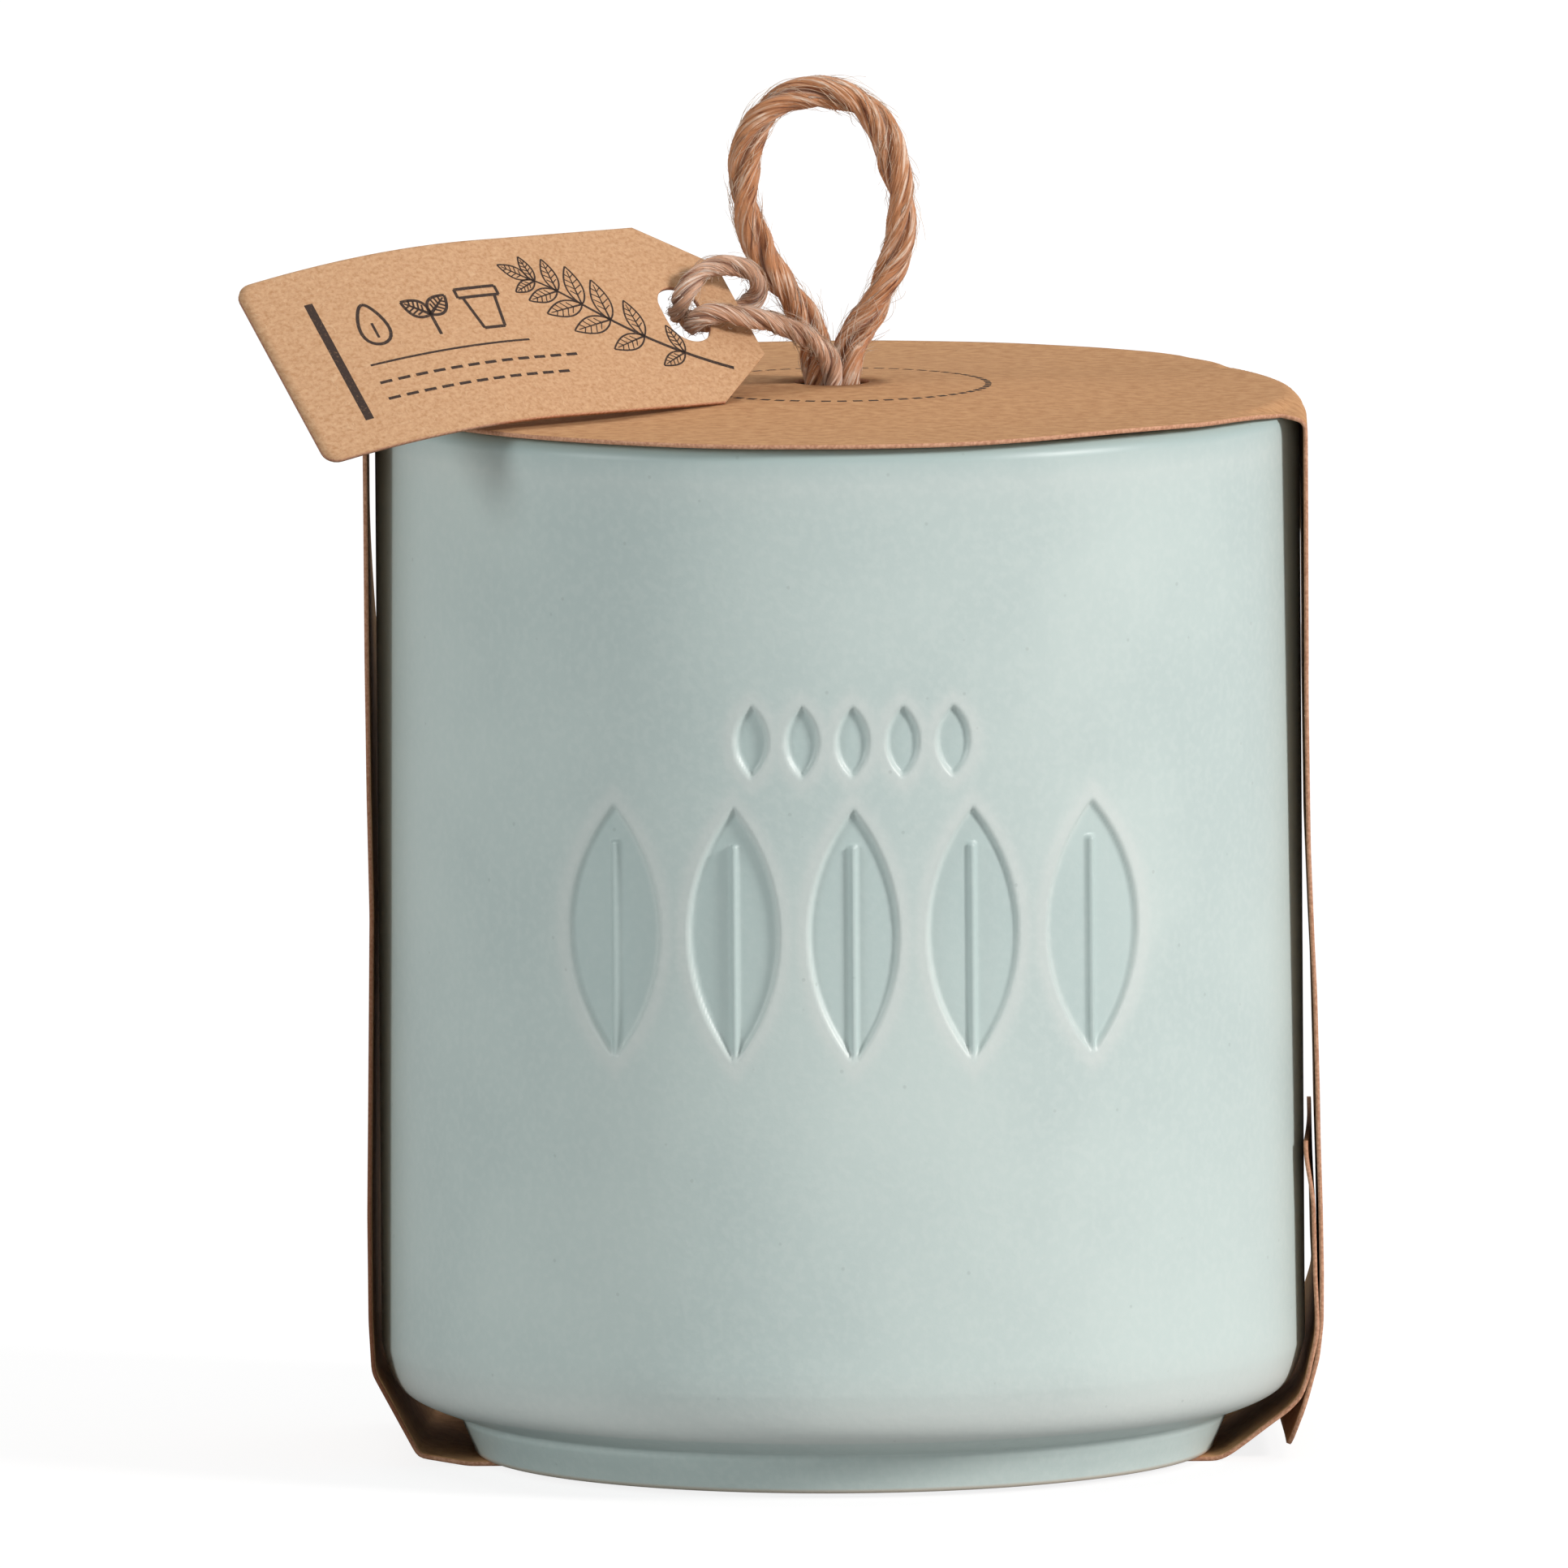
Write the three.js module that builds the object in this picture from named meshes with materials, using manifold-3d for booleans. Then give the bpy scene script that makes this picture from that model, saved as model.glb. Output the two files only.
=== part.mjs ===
// A herb growing kit: a glazed pot held in a folded card sleeve, with a twine loop to
// lift it by, a card tag on a string, and the dry contents packed inside the pot.
// Millimetres, +Z up. The origin is under the sleeve's bottom panel, on the pot's axis
// and on the surface that the kit stands on. The front is -Y.

import * as THREE from 'three';
import { mergeVertices } from 'three/addons/utils/BufferGeometryUtils.js';
import Module from 'manifold-3d';

const wasm = await Module();
wasm.setup();

// ---- Driving dimensions ------------------------------------------------------------

const CARD = 0.55; // thickness of the sleeve's card
const STRAP_WIDTH = 48; // width of the band that runs down both sides and under the pot
const STRAP_SET_BACK = 5.5; // the middle of the band is this far behind the pot's axis
const STRAP_LEAN = 6; // and its bottom is this much further back
const PANEL_RADIUS = 60.5; // the round top panel, a little wider than the pot
const PANEL_RISE = 1.6; // how far the twine's knot has bowed the top panel up
const RISE_RADIUS = 50; // the bowed part of the top panel
const FOLD_RADIUS = 2.9; // outside of the folds between the top panel and the straps

const POT_RADIUS = 59.8;
const POT_HEIGHT = 136.8;
const FOOT_RADIUS = 47.9; // outside of the foot ring where it stands
const FOOT_INSIDE = 41.5; // inside of the foot ring
const FOOT_RECESS = 1.8; // hollow under the pot, inside the foot ring
const POT_FLOOR = 6.8; // from the underside of the foot to the inside floor
const POT_WALL = 5.2;

const HOLE_RADIUS = 4.9; // punched in the top panel for the twine and the string
const HOLE_X = -0.65;
const TWINE_DIAMETER = 4;
const STRING_DIAMETER = 2.6;
const KNOT_RADIUS = 7.2;
const KNOT_HEIGHT = 9.5;

const TAG_LENGTH = 71;
const TAG_WIDTH = 28.9;
const TAG_CARD = 0.6;
const TAG_CORNER = 2; // corner radius at the free end
const TAG_CLIP_ALONG = 10; // the two corners cut off at the string's end
const TAG_CLIP_ACROSS = 7;
const TAG_HOLE = { along: 9.2, across: 14.4, radius: 3.2, stretch: 1.3 };
const TAG_CURL_START = 36; // the free end bends gently back from here
const TAG_CURL = 0.0053; // mm of bend per square mm past that point
const TAG_CORNER_AT = new THREE.Vector3(-6.5, -14.2, 138.96); // string end, lower corner
const TAG_LEAN_BACK = 46.3; // degrees
const TAG_TURN = 37.8; // degrees, its string end swung to the back
const TAG_DIP = 0.5; // degrees, its free end higher than its string end

const SOIL = { radius: 44, height: 22 };
const PACKET = { length: 78, width: 54, thickness: 3.2 };
const LEAFLET = { length: 84, width: 55, thickness: 1.2 };

// ---- Levels worked out from them -----------------------------------------------------

const FOOT_Z = CARD; // the pot stands on the bottom panel
const RIM_Z = FOOT_Z + POT_HEIGHT; // the top panel lies on the rim
const STRAP_END_X = 52; // where the strips reach the flat edge of the round panel
const GAP = 0.3; // between pieces that touch but aren't flat against each other

// Centre lines of the two card strips, in X and Z, as the folded card stands: the left
// one runs from the top panel down the left side, under the pot and up to the glued
// lap on the right, and the right one from the top panel down to its free tab.
const LEFT_SIDE = [
  [-61.0, RIM_Z + CARD - FOLD_RADIUS], [-60.97, 105], [-60.85, 88], [-60.6, 70],
  [-60.88, 52], [-61.2, 33], [-61.1, 18], [-60.8, 12.3], [-55.0, 1.4], [-48.6, CARD / 2],
];
const RIGHT_LAP = [
  [48.3, CARD / 2], [49.7, 0.95], [54.9, 4.8], [57.4, 6.6], [59.0, 8.3], [59.95, 10.8],
  [60.3, 13.2], [61.2, 16.8], [61.45, 24], [61.45, 33], [61.2, 42.4],
];
const RIGHT_SIDE = [
  [60.4, RIM_Z + CARD - FOLD_RADIUS], [60.35, 97], [60.5, 80], [60.95, 67.6],
  [61.25, 60], [61.5, 48.6], [61.8, 33], [61.9, 24], [61.83, 18], [61.3, 13.4],
  [59.9, 8.3], [58.85, 5.1], [57.5, 1.6],
];

// The twine loop, from one leg in the hole round to the other.
const TWINE_ROUTE = [
  [-2.75, 0, 138.9], [-2.75, 0, 142], [-2.85, 0, 144.6], [-3.7, 0, 147],
  [-5.3, 0.1, 149.9], [-7.1, 0.2, 152.3], [-8.8, 0.4, 154.6], [-10.2, 0.6, 157.6],
  [-11.4, 0.8, 161], [-11.9, 1, 165], [-11.6, 1.2, 169], [-10.5, 1.4, 172.2],
  [-8.9, 1.5, 174.4], [-6.8, 1.6, 176], [-4.5, 1.6, 176.8], [-2, 1.6, 177],
  [0.8, 1.6, 176.5], [3.3, 1.6, 175.4], [5.3, 1.5, 173.4], [6.6, 1.4, 171],
  [7.5, 1.2, 168], [8.3, 1, 164.6], [8.6, 0.8, 161], [8.2, 0.6, 157.5],
  [7.2, 0.4, 154.5], [5.9, 0.2, 151.5], [4.6, 0.1, 148.7], [2.9, 0, 146.3],
  [1.75, 0, 144.3], [1.45, 0, 142], [1.45, 0, 138.9],
];

// The tag's string: out of the hole in front of the twine, through the tag's hole from
// the front, round the tag's end into a small loop, through again, and back to the
// hole behind the twine.
const STRING_ROUTE = [
  [-0.6, -3.2, 138.9], [-0.6, -3.3, 140.8], [-1, -3.8, 142.8], [-2.4, -4.9, 144.7],
  [-4.8, -6.6, 146.5], [-7.6, -8.3, 147.9], [-11.3, -10.4, 149], [-13.6, -11.2, 149.5],
  [-15.5, -11.9, 149.7], [-17.1, -12.1, 149.5], [-18.3, -11.4, 148.7],
  [-18.4, -9.9, 148], [-17.6, -8.4, 147.9], [-15.5, -6.2, 148.4], [-13, -4.4, 149.2],
  [-11.3, -3.4, 150], [-10.2, -3.7, 151.5], [-10.3, -4.6, 153.1], [-11.3, -5.5, 154.4],
  [-13.4, -6.5, 155.3], [-15.5, -7.6, 155.4], [-17.2, -8.7, 154.9],
  [-18.6, -9.8, 153.6], [-19.7, -10.2, 152], [-20.3, -9.3, 150.6],
  [-20.5, -7.6, 149.6], [-20.1, -5.5, 148.6], [-18.7, -3.7, 147.9],
  [-16.8, -2.5, 147.5], [-14.3, -1.5, 147.2], [-11.5, 0.1, 147.7], [-8.3, 2, 147.1],
  [-5.6, 3.8, 145.7], [-3.1, 4.5, 143.7], [-1.2, 3.8, 141.6], [-0.6, 3.2, 138.9],
];

// ---- Fineness -----------------------------------------------------------------------

const POT_SIDES = 72;
const PANEL_SIDES = 72;
const CONTENT_SIDES = 40;
const CORD_SIDES = 8;
const TWINE_STEPS = 34;
const STRING_STEPS = 46;

// ---- Helpers ------------------------------------------------------------------------

const kit = new THREE.Group();

function addPiece(name, geometry, color, roughness) {
  const material = new THREE.MeshStandardMaterial({ color, roughness, metalness: 0 });
  const mesh = new THREE.Mesh(geometry, material);
  mesh.name = name;
  kit.add(mesh);
  return mesh;
}

// A closed geometry as a solid that can be joined and cut.
function toSolid(geometry) {
  const bare = geometry.clone();
  bare.deleteAttribute('normal');
  bare.deleteAttribute('uv');
  const merged = mergeVertices(bare, 1e-4);
  return new wasm.Manifold(new wasm.Mesh({
    numProp: 3,
    vertProperties: merged.attributes.position.array,
    triVerts: new Uint32Array(merged.index.array),
  }));
}

function toGeometry(solid) {
  const mesh = solid.getMesh();
  const geometry = new THREE.BufferGeometry();
  geometry.setAttribute('position', new THREE.BufferAttribute(mesh.vertProperties, 3));
  geometry.setIndex(new THREE.BufferAttribute(mesh.triVerts, 1));
  geometry.computeVertexNormals();
  return geometry;
}

// A profile of [radius, height] points turned round the Z axis.
function turned(profile, sides) {
  const points = profile.map(([r, z]) => new THREE.Vector2(r, z));
  return new THREE.LatheGeometry(points, sides).rotateX(Math.PI / 2);
}

// Points along an arc of a circle, from one angle to another, in degrees.
function arc(centreX, centreZ, radius, from, to, steps) {
  const points = [];
  for (let i = 0; i <= steps; i += 1) {
    const angle = THREE.MathUtils.degToRad(from + ((to - from) * i) / steps);
    points.push([centreX + radius * Math.cos(angle), centreZ + radius * Math.sin(angle)]);
  }
  return points;
}

// One side of a centre line, offset square to it and mitred at its corners.
function offsetLine(line, distance) {
  return line.map((point, i) => {
    const before = line[Math.max(i - 1, 0)];
    const after = line[Math.min(i + 1, line.length - 1)];
    const into = new THREE.Vector2(point[0] - before[0], point[1] - before[1]);
    const out = new THREE.Vector2(after[0] - point[0], after[1] - point[1]);
    if (i === 0) into.copy(out);
    if (i === line.length - 1) out.copy(into);
    const normalIn = new THREE.Vector2(-into.y, into.x).normalize();
    const normalOut = new THREE.Vector2(-out.y, out.x).normalize();
    const mitre = normalIn.clone().add(normalOut).normalize();
    const reach = distance / mitre.dot(normalIn);
    return new THREE.Vector2(point[0] + mitre.x * reach, point[1] + mitre.y * reach);
  });
}

// A strip of sheet that follows a centre line in X and Z, and is as wide as `width` in Y.
function strip(line, thickness, width) {
  const outline = [
    ...offsetLine(line, thickness / 2),
    ...offsetLine(line, -thickness / 2).reverse(),
  ];
  const shape = new THREE.Shape(outline);
  const geometry = new THREE.ExtrudeGeometry(shape, { depth: width, bevelEnabled: false });
  return geometry.rotateX(Math.PI / 2).translate(0, width / 2, 0);
}

// Moves a strip back, by a little more the lower down it is.
function leanBack(geometry) {
  const lean = new THREE.Matrix4().makeShear(0, 0, 0, 0, 0, -STRAP_LEAN / RIM_Z);
  return geometry.applyMatrix4(lean).translate(0, STRAP_SET_BACK + STRAP_LEAN, 0);
}

// A round cord along a route of points.
function cord(route, diameter, steps) {
  const path = new THREE.CatmullRomCurve3(
    route.map((point) => new THREE.Vector3(...point)), false, 'centripetal');
  const section = new THREE.Shape();
  for (let i = 0; i < CORD_SIDES; i += 1) {
    const angle = (2 * Math.PI * i) / CORD_SIDES;
    const x = (diameter / 2) * Math.cos(angle);
    const y = (diameter / 2) * Math.sin(angle);
    if (i === 0) section.moveTo(x, y);
    else section.lineTo(x, y);
  }
  section.closePath();
  return new THREE.ExtrudeGeometry(section, { steps, bevelEnabled: false, extrudePath: path });
}

// A flat sheet with rounded corners, lying level with its underside at the height z.
function sheet({ length, width, thickness }, corner, z) {
  const x = length / 2;
  const y = width / 2;
  const shape = new THREE.Shape();
  shape.absarc(x - corner, y - corner, corner, 0, Math.PI / 2);
  shape.absarc(-x + corner, y - corner, corner, Math.PI / 2, Math.PI);
  shape.absarc(-x + corner, -y + corner, corner, Math.PI, 1.5 * Math.PI);
  shape.absarc(x - corner, -y + corner, corner, 1.5 * Math.PI, 2 * Math.PI);
  const geometry = new THREE.ExtrudeGeometry(
    shape, { depth: thickness, bevelEnabled: false, curveSegments: 4 });
  return geometry.translate(0, 0, z);
}

// ---- Pot ----------------------------------------------------------------------------

function potGeometry() {
  const rimRound = 2.3;
  const innerRound = 1.6;
  const innerRadius = POT_RADIUS - POT_WALL;
  const floorZ = FOOT_Z + POT_FLOOR;
  const floorRound = 8;
  const shoulder = new THREE.CubicBezierCurve(
    new THREE.Vector2(50.5, 6.1), new THREE.Vector2(57.2, 8.4),
    new THREE.Vector2(58.4, 8.6), new THREE.Vector2(POT_RADIUS, 15));
  const profile = [
    [0, FOOT_Z + FOOT_RECESS],
    [FOOT_INSIDE - 1.5, FOOT_Z + FOOT_RECESS],
    [FOOT_INSIDE, FOOT_Z],
    [FOOT_RADIUS - 0.5, FOOT_Z],
    [FOOT_RADIUS, FOOT_Z + 0.5],
    [FOOT_RADIUS + 2, FOOT_Z + 5.2],
    ...shoulder.getPoints(7).map((point) => [point.x, point.y]),
    ...arc(POT_RADIUS - rimRound, RIM_Z - rimRound, rimRound, 0, 90, 4),
    ...arc(innerRadius + innerRound, RIM_Z - innerRound, innerRound, 90, 180, 3),
    ...arc(innerRadius - floorRound, floorZ + floorRound, floorRound, 0, -90, 4),
    [0, floorZ],
  ];
  return turned(profile, POT_SIDES);
}

// ---- Card sleeve --------------------------------------------------------------------

// Height of the top panel's underside at a distance from its middle.
function panelUnderside(radius) {
  const fall = 1 - Math.min(radius / RISE_RADIUS, 1) ** 2;
  return RIM_Z + PANEL_RISE * fall * fall;
}

function topPanel() {
  const pilot = 2; // a pilot hole, inside the punched one
  const radii = [pilot, 12, 20, 28, 36, 43, RISE_RADIUS, PANEL_RADIUS];
  const under = radii.map((r) => [r, panelUnderside(r)]);
  const over = radii.map((r) => [r, panelUnderside(r) + CARD]).reverse();
  const panel = toSolid(turned([...under, ...over, under[0]], PANEL_SIDES));
  const punch = new THREE.CylinderGeometry(HOLE_RADIUS, HOLE_RADIUS, 10, 24);
  punch.rotateX(Math.PI / 2).translate(HOLE_X, 0, RIM_Z + PANEL_RISE);
  return panel.subtract(toSolid(punch));
}

function sleeveGeometry() {
  const middle = RIM_Z + CARD / 2;
  const bend = FOLD_RADIUS - CARD / 2;
  const leftFold = arc(LEFT_SIDE[0][0] + bend, middle - bend, bend, 90, 180, 5);
  const rightFold = arc(RIGHT_SIDE[0][0] - bend, middle - bend, bend, 90, 0, 5);
  const leftLine = [
    [-STRAP_END_X, middle], ...leftFold, ...LEFT_SIDE.slice(1), ...RIGHT_LAP,
  ];
  const rightLine = [[STRAP_END_X, middle], ...rightFold, ...RIGHT_SIDE.slice(1)];
  const left = toSolid(leanBack(strip(leftLine, CARD, STRAP_WIDTH)));
  const right = toSolid(leanBack(strip(rightLine, CARD, STRAP_WIDTH)));
  return toGeometry(topPanel().add(left).add(right));
}

// ---- Twine, string and knot ---------------------------------------------------------

// The knot that holds the four ends under the top panel: a flat-topped ball.
function knotGeometry() {
  const top = panelUnderside(0) - GAP;
  const middle = top - KNOT_HEIGHT / 2;
  const profile = [];
  for (let i = 0; i <= 8; i += 1) {
    const angle = THREE.MathUtils.degToRad(-90 + (150 * i) / 8);
    const reach = middle + (KNOT_HEIGHT / 2) * Math.sin(angle) / Math.sin(Math.PI / 3);
    profile.push([KNOT_RADIUS * Math.cos(angle), reach]);
  }
  profile[0][0] = 0;
  profile.push([0, profile[8][1]]);
  return turned(profile, 16).translate(HOLE_X, 0, 0);
}

// ---- Tag ----------------------------------------------------------------------------

// The tag lies in its own frame first: -X along it from the string's end, Y across it.
function tagOutline() {
  const shape = new THREE.Shape();
  shape.moveTo(0, TAG_CLIP_ACROSS);
  shape.lineTo(0, TAG_WIDTH - TAG_CLIP_ACROSS);
  shape.lineTo(-TAG_CLIP_ALONG, TAG_WIDTH);
  const farX = -TAG_LENGTH + TAG_CORNER;
  shape.absarc(farX, TAG_WIDTH - TAG_CORNER, TAG_CORNER, Math.PI / 2, Math.PI);
  shape.absarc(farX, TAG_CORNER, TAG_CORNER, Math.PI, 1.5 * Math.PI);
  shape.lineTo(-TAG_CLIP_ALONG, 0);
  shape.closePath();
  return shape;
}

function tagHole() {
  const { along, across, radius, stretch } = TAG_HOLE;
  const hole = new THREE.Shape();
  hole.absarc(-along, across + stretch, radius, 0, Math.PI);
  hole.absarc(-along, across - stretch, radius, Math.PI, 2 * Math.PI);
  hole.closePath();
  return hole;
}

function tagGeometry() {
  const curlSteps = 6;
  const line = [[2, 0]];
  for (let i = 0; i <= curlSteps; i += 1) {
    const past = ((TAG_LENGTH + 2 - TAG_CURL_START) * i) / curlSteps;
    line.push([-TAG_CURL_START - past, -TAG_CURL * past * past]);
  }
  const sheetWidth = TAG_WIDTH + 4;
  const bent = toSolid(strip(line, TAG_CARD, sheetWidth).translate(0, TAG_WIDTH / 2, 0));
  const deep = { depth: 20, bevelEnabled: false, curveSegments: 6 };
  const outline = new THREE.ExtrudeGeometry(tagOutline(), deep).translate(0, 0, -10);
  const hole = new THREE.ExtrudeGeometry(tagHole(), deep).translate(0, 0, -10);
  return toGeometry(bent.intersect(toSolid(outline)).subtract(toSolid(hole)));
}

// ---- The kit ------------------------------------------------------------------------

addPiece('pot', potGeometry(), 0xb7c6c3, 0.3);
addPiece('card_sleeve', sleeveGeometry(), 0xc69b6c, 0.85);
addPiece('twine_loop', cord(TWINE_ROUTE, TWINE_DIAMETER, TWINE_STEPS), 0xb9926a, 0.95);
addPiece('tag_string', cord(STRING_ROUTE, STRING_DIAMETER, STRING_STEPS), 0xcdb08a, 0.95);
addPiece('twine_knot', knotGeometry(), 0xb9926a, 0.95);

const tag = addPiece('tag', tagGeometry(), 0xc9a276, 0.85);
tag.rotation.order = 'ZYX';
tag.rotation.set(
  THREE.MathUtils.degToRad(TAG_LEAN_BACK),
  THREE.MathUtils.degToRad(TAG_DIP),
  THREE.MathUtils.degToRad(TAG_TURN));
tag.position.copy(TAG_CORNER_AT);

// The contents lie on each other, on the pot's floor.
const soilZ = FOOT_Z + POT_FLOOR;
const packetZ = soilZ + SOIL.height;
const leafletZ = packetZ + PACKET.thickness;
const soilRound = 1.5;
const soilProfile = [
  [0, soilZ], [SOIL.radius - soilRound, soilZ], [SOIL.radius, soilZ + soilRound],
  [SOIL.radius, packetZ - soilRound], [SOIL.radius - soilRound, packetZ], [0, packetZ],
];
addPiece('soil_disc', turned(soilProfile, CONTENT_SIDES), 0x4a3524, 1);
addPiece('seed_packet', sheet(PACKET, 1.5, packetZ), 0xd8c3a0, 0.8);
addPiece('instruction_leaflet', sheet(LEAFLET, 0.6, leafletZ), 0xf1ece1, 0.8);

export default kit;
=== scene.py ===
# %% [markdown]
# # A herb growing kit: glazed pot, card sleeve, twine loop and tag
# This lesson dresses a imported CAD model. The model gives every piece its size and place,
# and the cells below give each one the finish of the real thing: glaze, brown card, jute.
# The scene is in metres.

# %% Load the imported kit
import math

import bmesh
import bpy
import numpy as np
from mathutils import Euler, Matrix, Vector, noise


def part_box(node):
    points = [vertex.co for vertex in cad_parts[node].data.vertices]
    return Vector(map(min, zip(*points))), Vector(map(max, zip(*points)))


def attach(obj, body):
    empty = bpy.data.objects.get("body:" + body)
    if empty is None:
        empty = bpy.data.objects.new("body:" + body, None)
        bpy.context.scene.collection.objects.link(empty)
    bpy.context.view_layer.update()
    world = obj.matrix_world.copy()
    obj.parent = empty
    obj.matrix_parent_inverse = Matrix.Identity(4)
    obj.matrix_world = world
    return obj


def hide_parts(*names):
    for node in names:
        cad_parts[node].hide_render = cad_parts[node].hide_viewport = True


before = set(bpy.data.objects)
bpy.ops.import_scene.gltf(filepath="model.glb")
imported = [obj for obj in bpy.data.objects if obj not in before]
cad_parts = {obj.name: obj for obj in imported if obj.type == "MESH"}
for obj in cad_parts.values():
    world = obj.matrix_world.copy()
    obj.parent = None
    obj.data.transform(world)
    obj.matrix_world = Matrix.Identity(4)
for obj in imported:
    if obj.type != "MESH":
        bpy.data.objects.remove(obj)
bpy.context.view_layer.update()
MM = 0.001

# %% [markdown]
# ## The camera
# A product photograph like this one is taken from far away with a long lens, so that
# upright edges stay upright.

# %% Camera
PICTURE_WIDTH = 202.9 * MM  # what the picture is wide, at the pot's axis
CAMERA_DISTANCE = 8.0
CAMERA_ELEVATION = math.radians(6.67)
CAMERA_ROLL = math.radians(-0.40)
LOOK_AT = Vector((-7.2, 0.0, 87.1)) * MM

camera = bpy.data.objects.new("camera", bpy.data.cameras.new("camera"))
bpy.context.scene.collection.objects.link(camera)
camera.data.sensor_width = 36.0
camera.data.lens = camera.data.sensor_width * CAMERA_DISTANCE / PICTURE_WIDTH
camera.data.clip_end = 4 * CAMERA_DISTANCE
towards = Vector((0.0, -math.cos(CAMERA_ELEVATION), math.sin(CAMERA_ELEVATION)))
camera.location = LOOK_AT + towards * CAMERA_DISTANCE
camera.rotation_euler = (-towards).to_track_quat("-Z", "Y").to_euler()
camera.rotation_euler.rotate_axis("Z", CAMERA_ROLL)
bpy.context.scene.camera = camera
bpy.context.scene.view_settings.view_transform = "Standard"
print("lens, mm:", round(camera.data.lens))

# %% [markdown]
# ## Cords: a route, then a twisted surface round it
# Twine is a fixed length of soft fibre, so its route comes first: a list of points in
# millimetres that the CAD tube follows too. A smooth curve runs through them, with a
# frame carried along it that never spins by itself. The surface is one closed skin whose
# section has a groove between the plies, and the section turns as it goes along. That
# gives real plies in the mesh, with no need for separate strands that would cross.

# %% Smooth routes and carried frames
def distances(line):
    """How far along a line each of its points is."""
    return np.r_[0, np.cumsum(np.linalg.norm(np.diff(line, axis=0), axis=1))]


def evened(line, step_count):
    """The same line, in a whole number of even steps."""
    along = distances(line)
    even = np.linspace(0, along[-1], step_count(along[-1]) + 1)
    return np.column_stack([np.interp(even, along, line[:, k]) for k in range(line.shape[1])])


def smooth_route(points, step):
    """A centripetal Catmull-Rom curve through the points, cut into even steps."""
    p = np.array(points, float)
    p = np.vstack([2 * p[0] - p[1], p, 2 * p[-1] - p[-2]])
    line = []
    for p0, p1, p2, p3 in zip(p, p[1:], p[2:], p[3:]):
        a, b, c = (math.sqrt(np.linalg.norm(q - r)) for q, r in ((p1, p0), (p2, p1), (p3, p2)))
        out = ((p1 - p0) / a - (p2 - p0) / (a + b) + (p2 - p1) / b) * b
        into = ((p2 - p1) / b - (p3 - p1) / (b + c) + (p3 - p2) / c) * b
        for t in np.linspace(0, 1, 24, endpoint=False):
            cubic = 2 * (p1 - p2) + out + into
            square = 3 * (p2 - p1) - 2 * out - into
            line.append(p1 + out * t + square * t**2 + cubic * t**3)
    return evened(np.array([*line, p[-2]]), lambda length: round(length / step))


def carried_frames(line):
    """Two normals at each point of a line, which turn no more than the line does."""
    tangent = np.gradient(line, axis=0)
    tangent /= np.linalg.norm(tangent, axis=1)[:, None]
    side = np.cross(tangent[0], (0.0, 1.0, 0.3))
    sides = []
    for t in tangent:
        side = side - t * side.dot(t)
        side = side / np.linalg.norm(side)
        sides.append(side)
    return np.array(sides), np.cross(tangent, sides)


def beside(centre, side, up, angle, reach):
    """A point at an angle round a line's point, at a reach from it."""
    return centre + (math.cos(angle) * side + math.sin(angle) * up) * reach


def grid_faces(rows, columns, wrap):
    """Quads between neighbouring rows and columns of points."""
    faces = []
    for row in range(0, (rows - 1) * columns, columns):
        for j in range(columns if wrap else columns - 1):
            k = (j + 1) % columns
            faces.append((row + j, row + k, row + columns + k, row + columns + j))
    return faces


def tube_faces(start, rings, sides):
    """The faces of a closed tube, made of rings of points from number start on."""
    end = start + sides * (rings - 1)
    faces = [tuple(start + v for v in face) for face in grid_faces(rings, sides, wrap=True)]
    return faces + [tuple(range(start, start + sides))[::-1], tuple(range(end, end + sides))]


def new_piece(name, points_mm, faces, smooth=True):
    """A mesh object from points in millimetres."""
    mesh = bpy.data.meshes.new(name)
    mesh.from_pydata([tuple(p) for p in np.asarray(points_mm, float) * MM], [], faces)
    if smooth:
        mesh.polygons.foreach_set("use_smooth", [True] * len(mesh.polygons))
    piece = bpy.data.objects.new(name, mesh)
    bpy.context.scene.collection.objects.link(piece)
    return piece


def set_values(piece, name, values):
    """Keeps a number for each point of a piece, which its material can read."""
    piece.data.attributes.new(name, "FLOAT", "POINT").data.foreach_set("value", values)


print("route and mesh helpers are ready")

# %% The twisted skin of a cord
CORD_STEP = 0.25  # mm between rings
CORD_SIDES = 56
PLIES = 2
UNEVEN = 0.07  # how much a cord's thickness wanders, as a share of it
GROOVE_WIDTH = 0.5  # of the groove between the plies, in radians
PAINTED_GROOVE_SHADE_WIDTH = 0.32


def strand_noise(twisted, along, width, length, seed):
    """Noise that is drawn out along the plies and turns with them."""
    return noise.noise(Vector((width * math.cos(twisted), width * math.sin(twisted), along * length + seed)))


def cord_skin(line, diameter, pitch, groove, strand_relief, seed):
    """The skin's points, their places along and round the cord, and how much painted shade each takes in a
    groove.
    """
    side, up = carried_frames(line)
    sector = 2 * math.pi / PLIES
    points, around, shade = [], [], []
    for i, centre in enumerate(line):
        along = i * CORD_STEP
        loose = 1 + UNEVEN * noise.noise(Vector((along * 0.22, seed, 0.0)))
        for angle in np.linspace(0, 2 * math.pi, CORD_SIDES, endpoint=False):
            twisted = angle - 2 * math.pi * along / pitch
            ply = twisted % sector
            to_groove = min(ply, sector - ply)
            depth = groove * math.exp(-((to_groove / GROOVE_WIDTH) ** 2))
            relief = strand_relief * (strand_noise(twisted, along, 2.6, 0.13, seed)
                                      + 0.6 * strand_noise(twisted, along, 7, 0.3, -seed))
            points.append(beside(centre, side[i], up[i], angle, diameter / 2 * (loose - depth) + relief))
            around.append((along, (twisted / (2 * math.pi)) % 1.0))
            shade.append(math.exp(-((to_groove / PAINTED_GROOVE_SHADE_WIDTH) ** 2)))
    return points, around, shade


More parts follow.
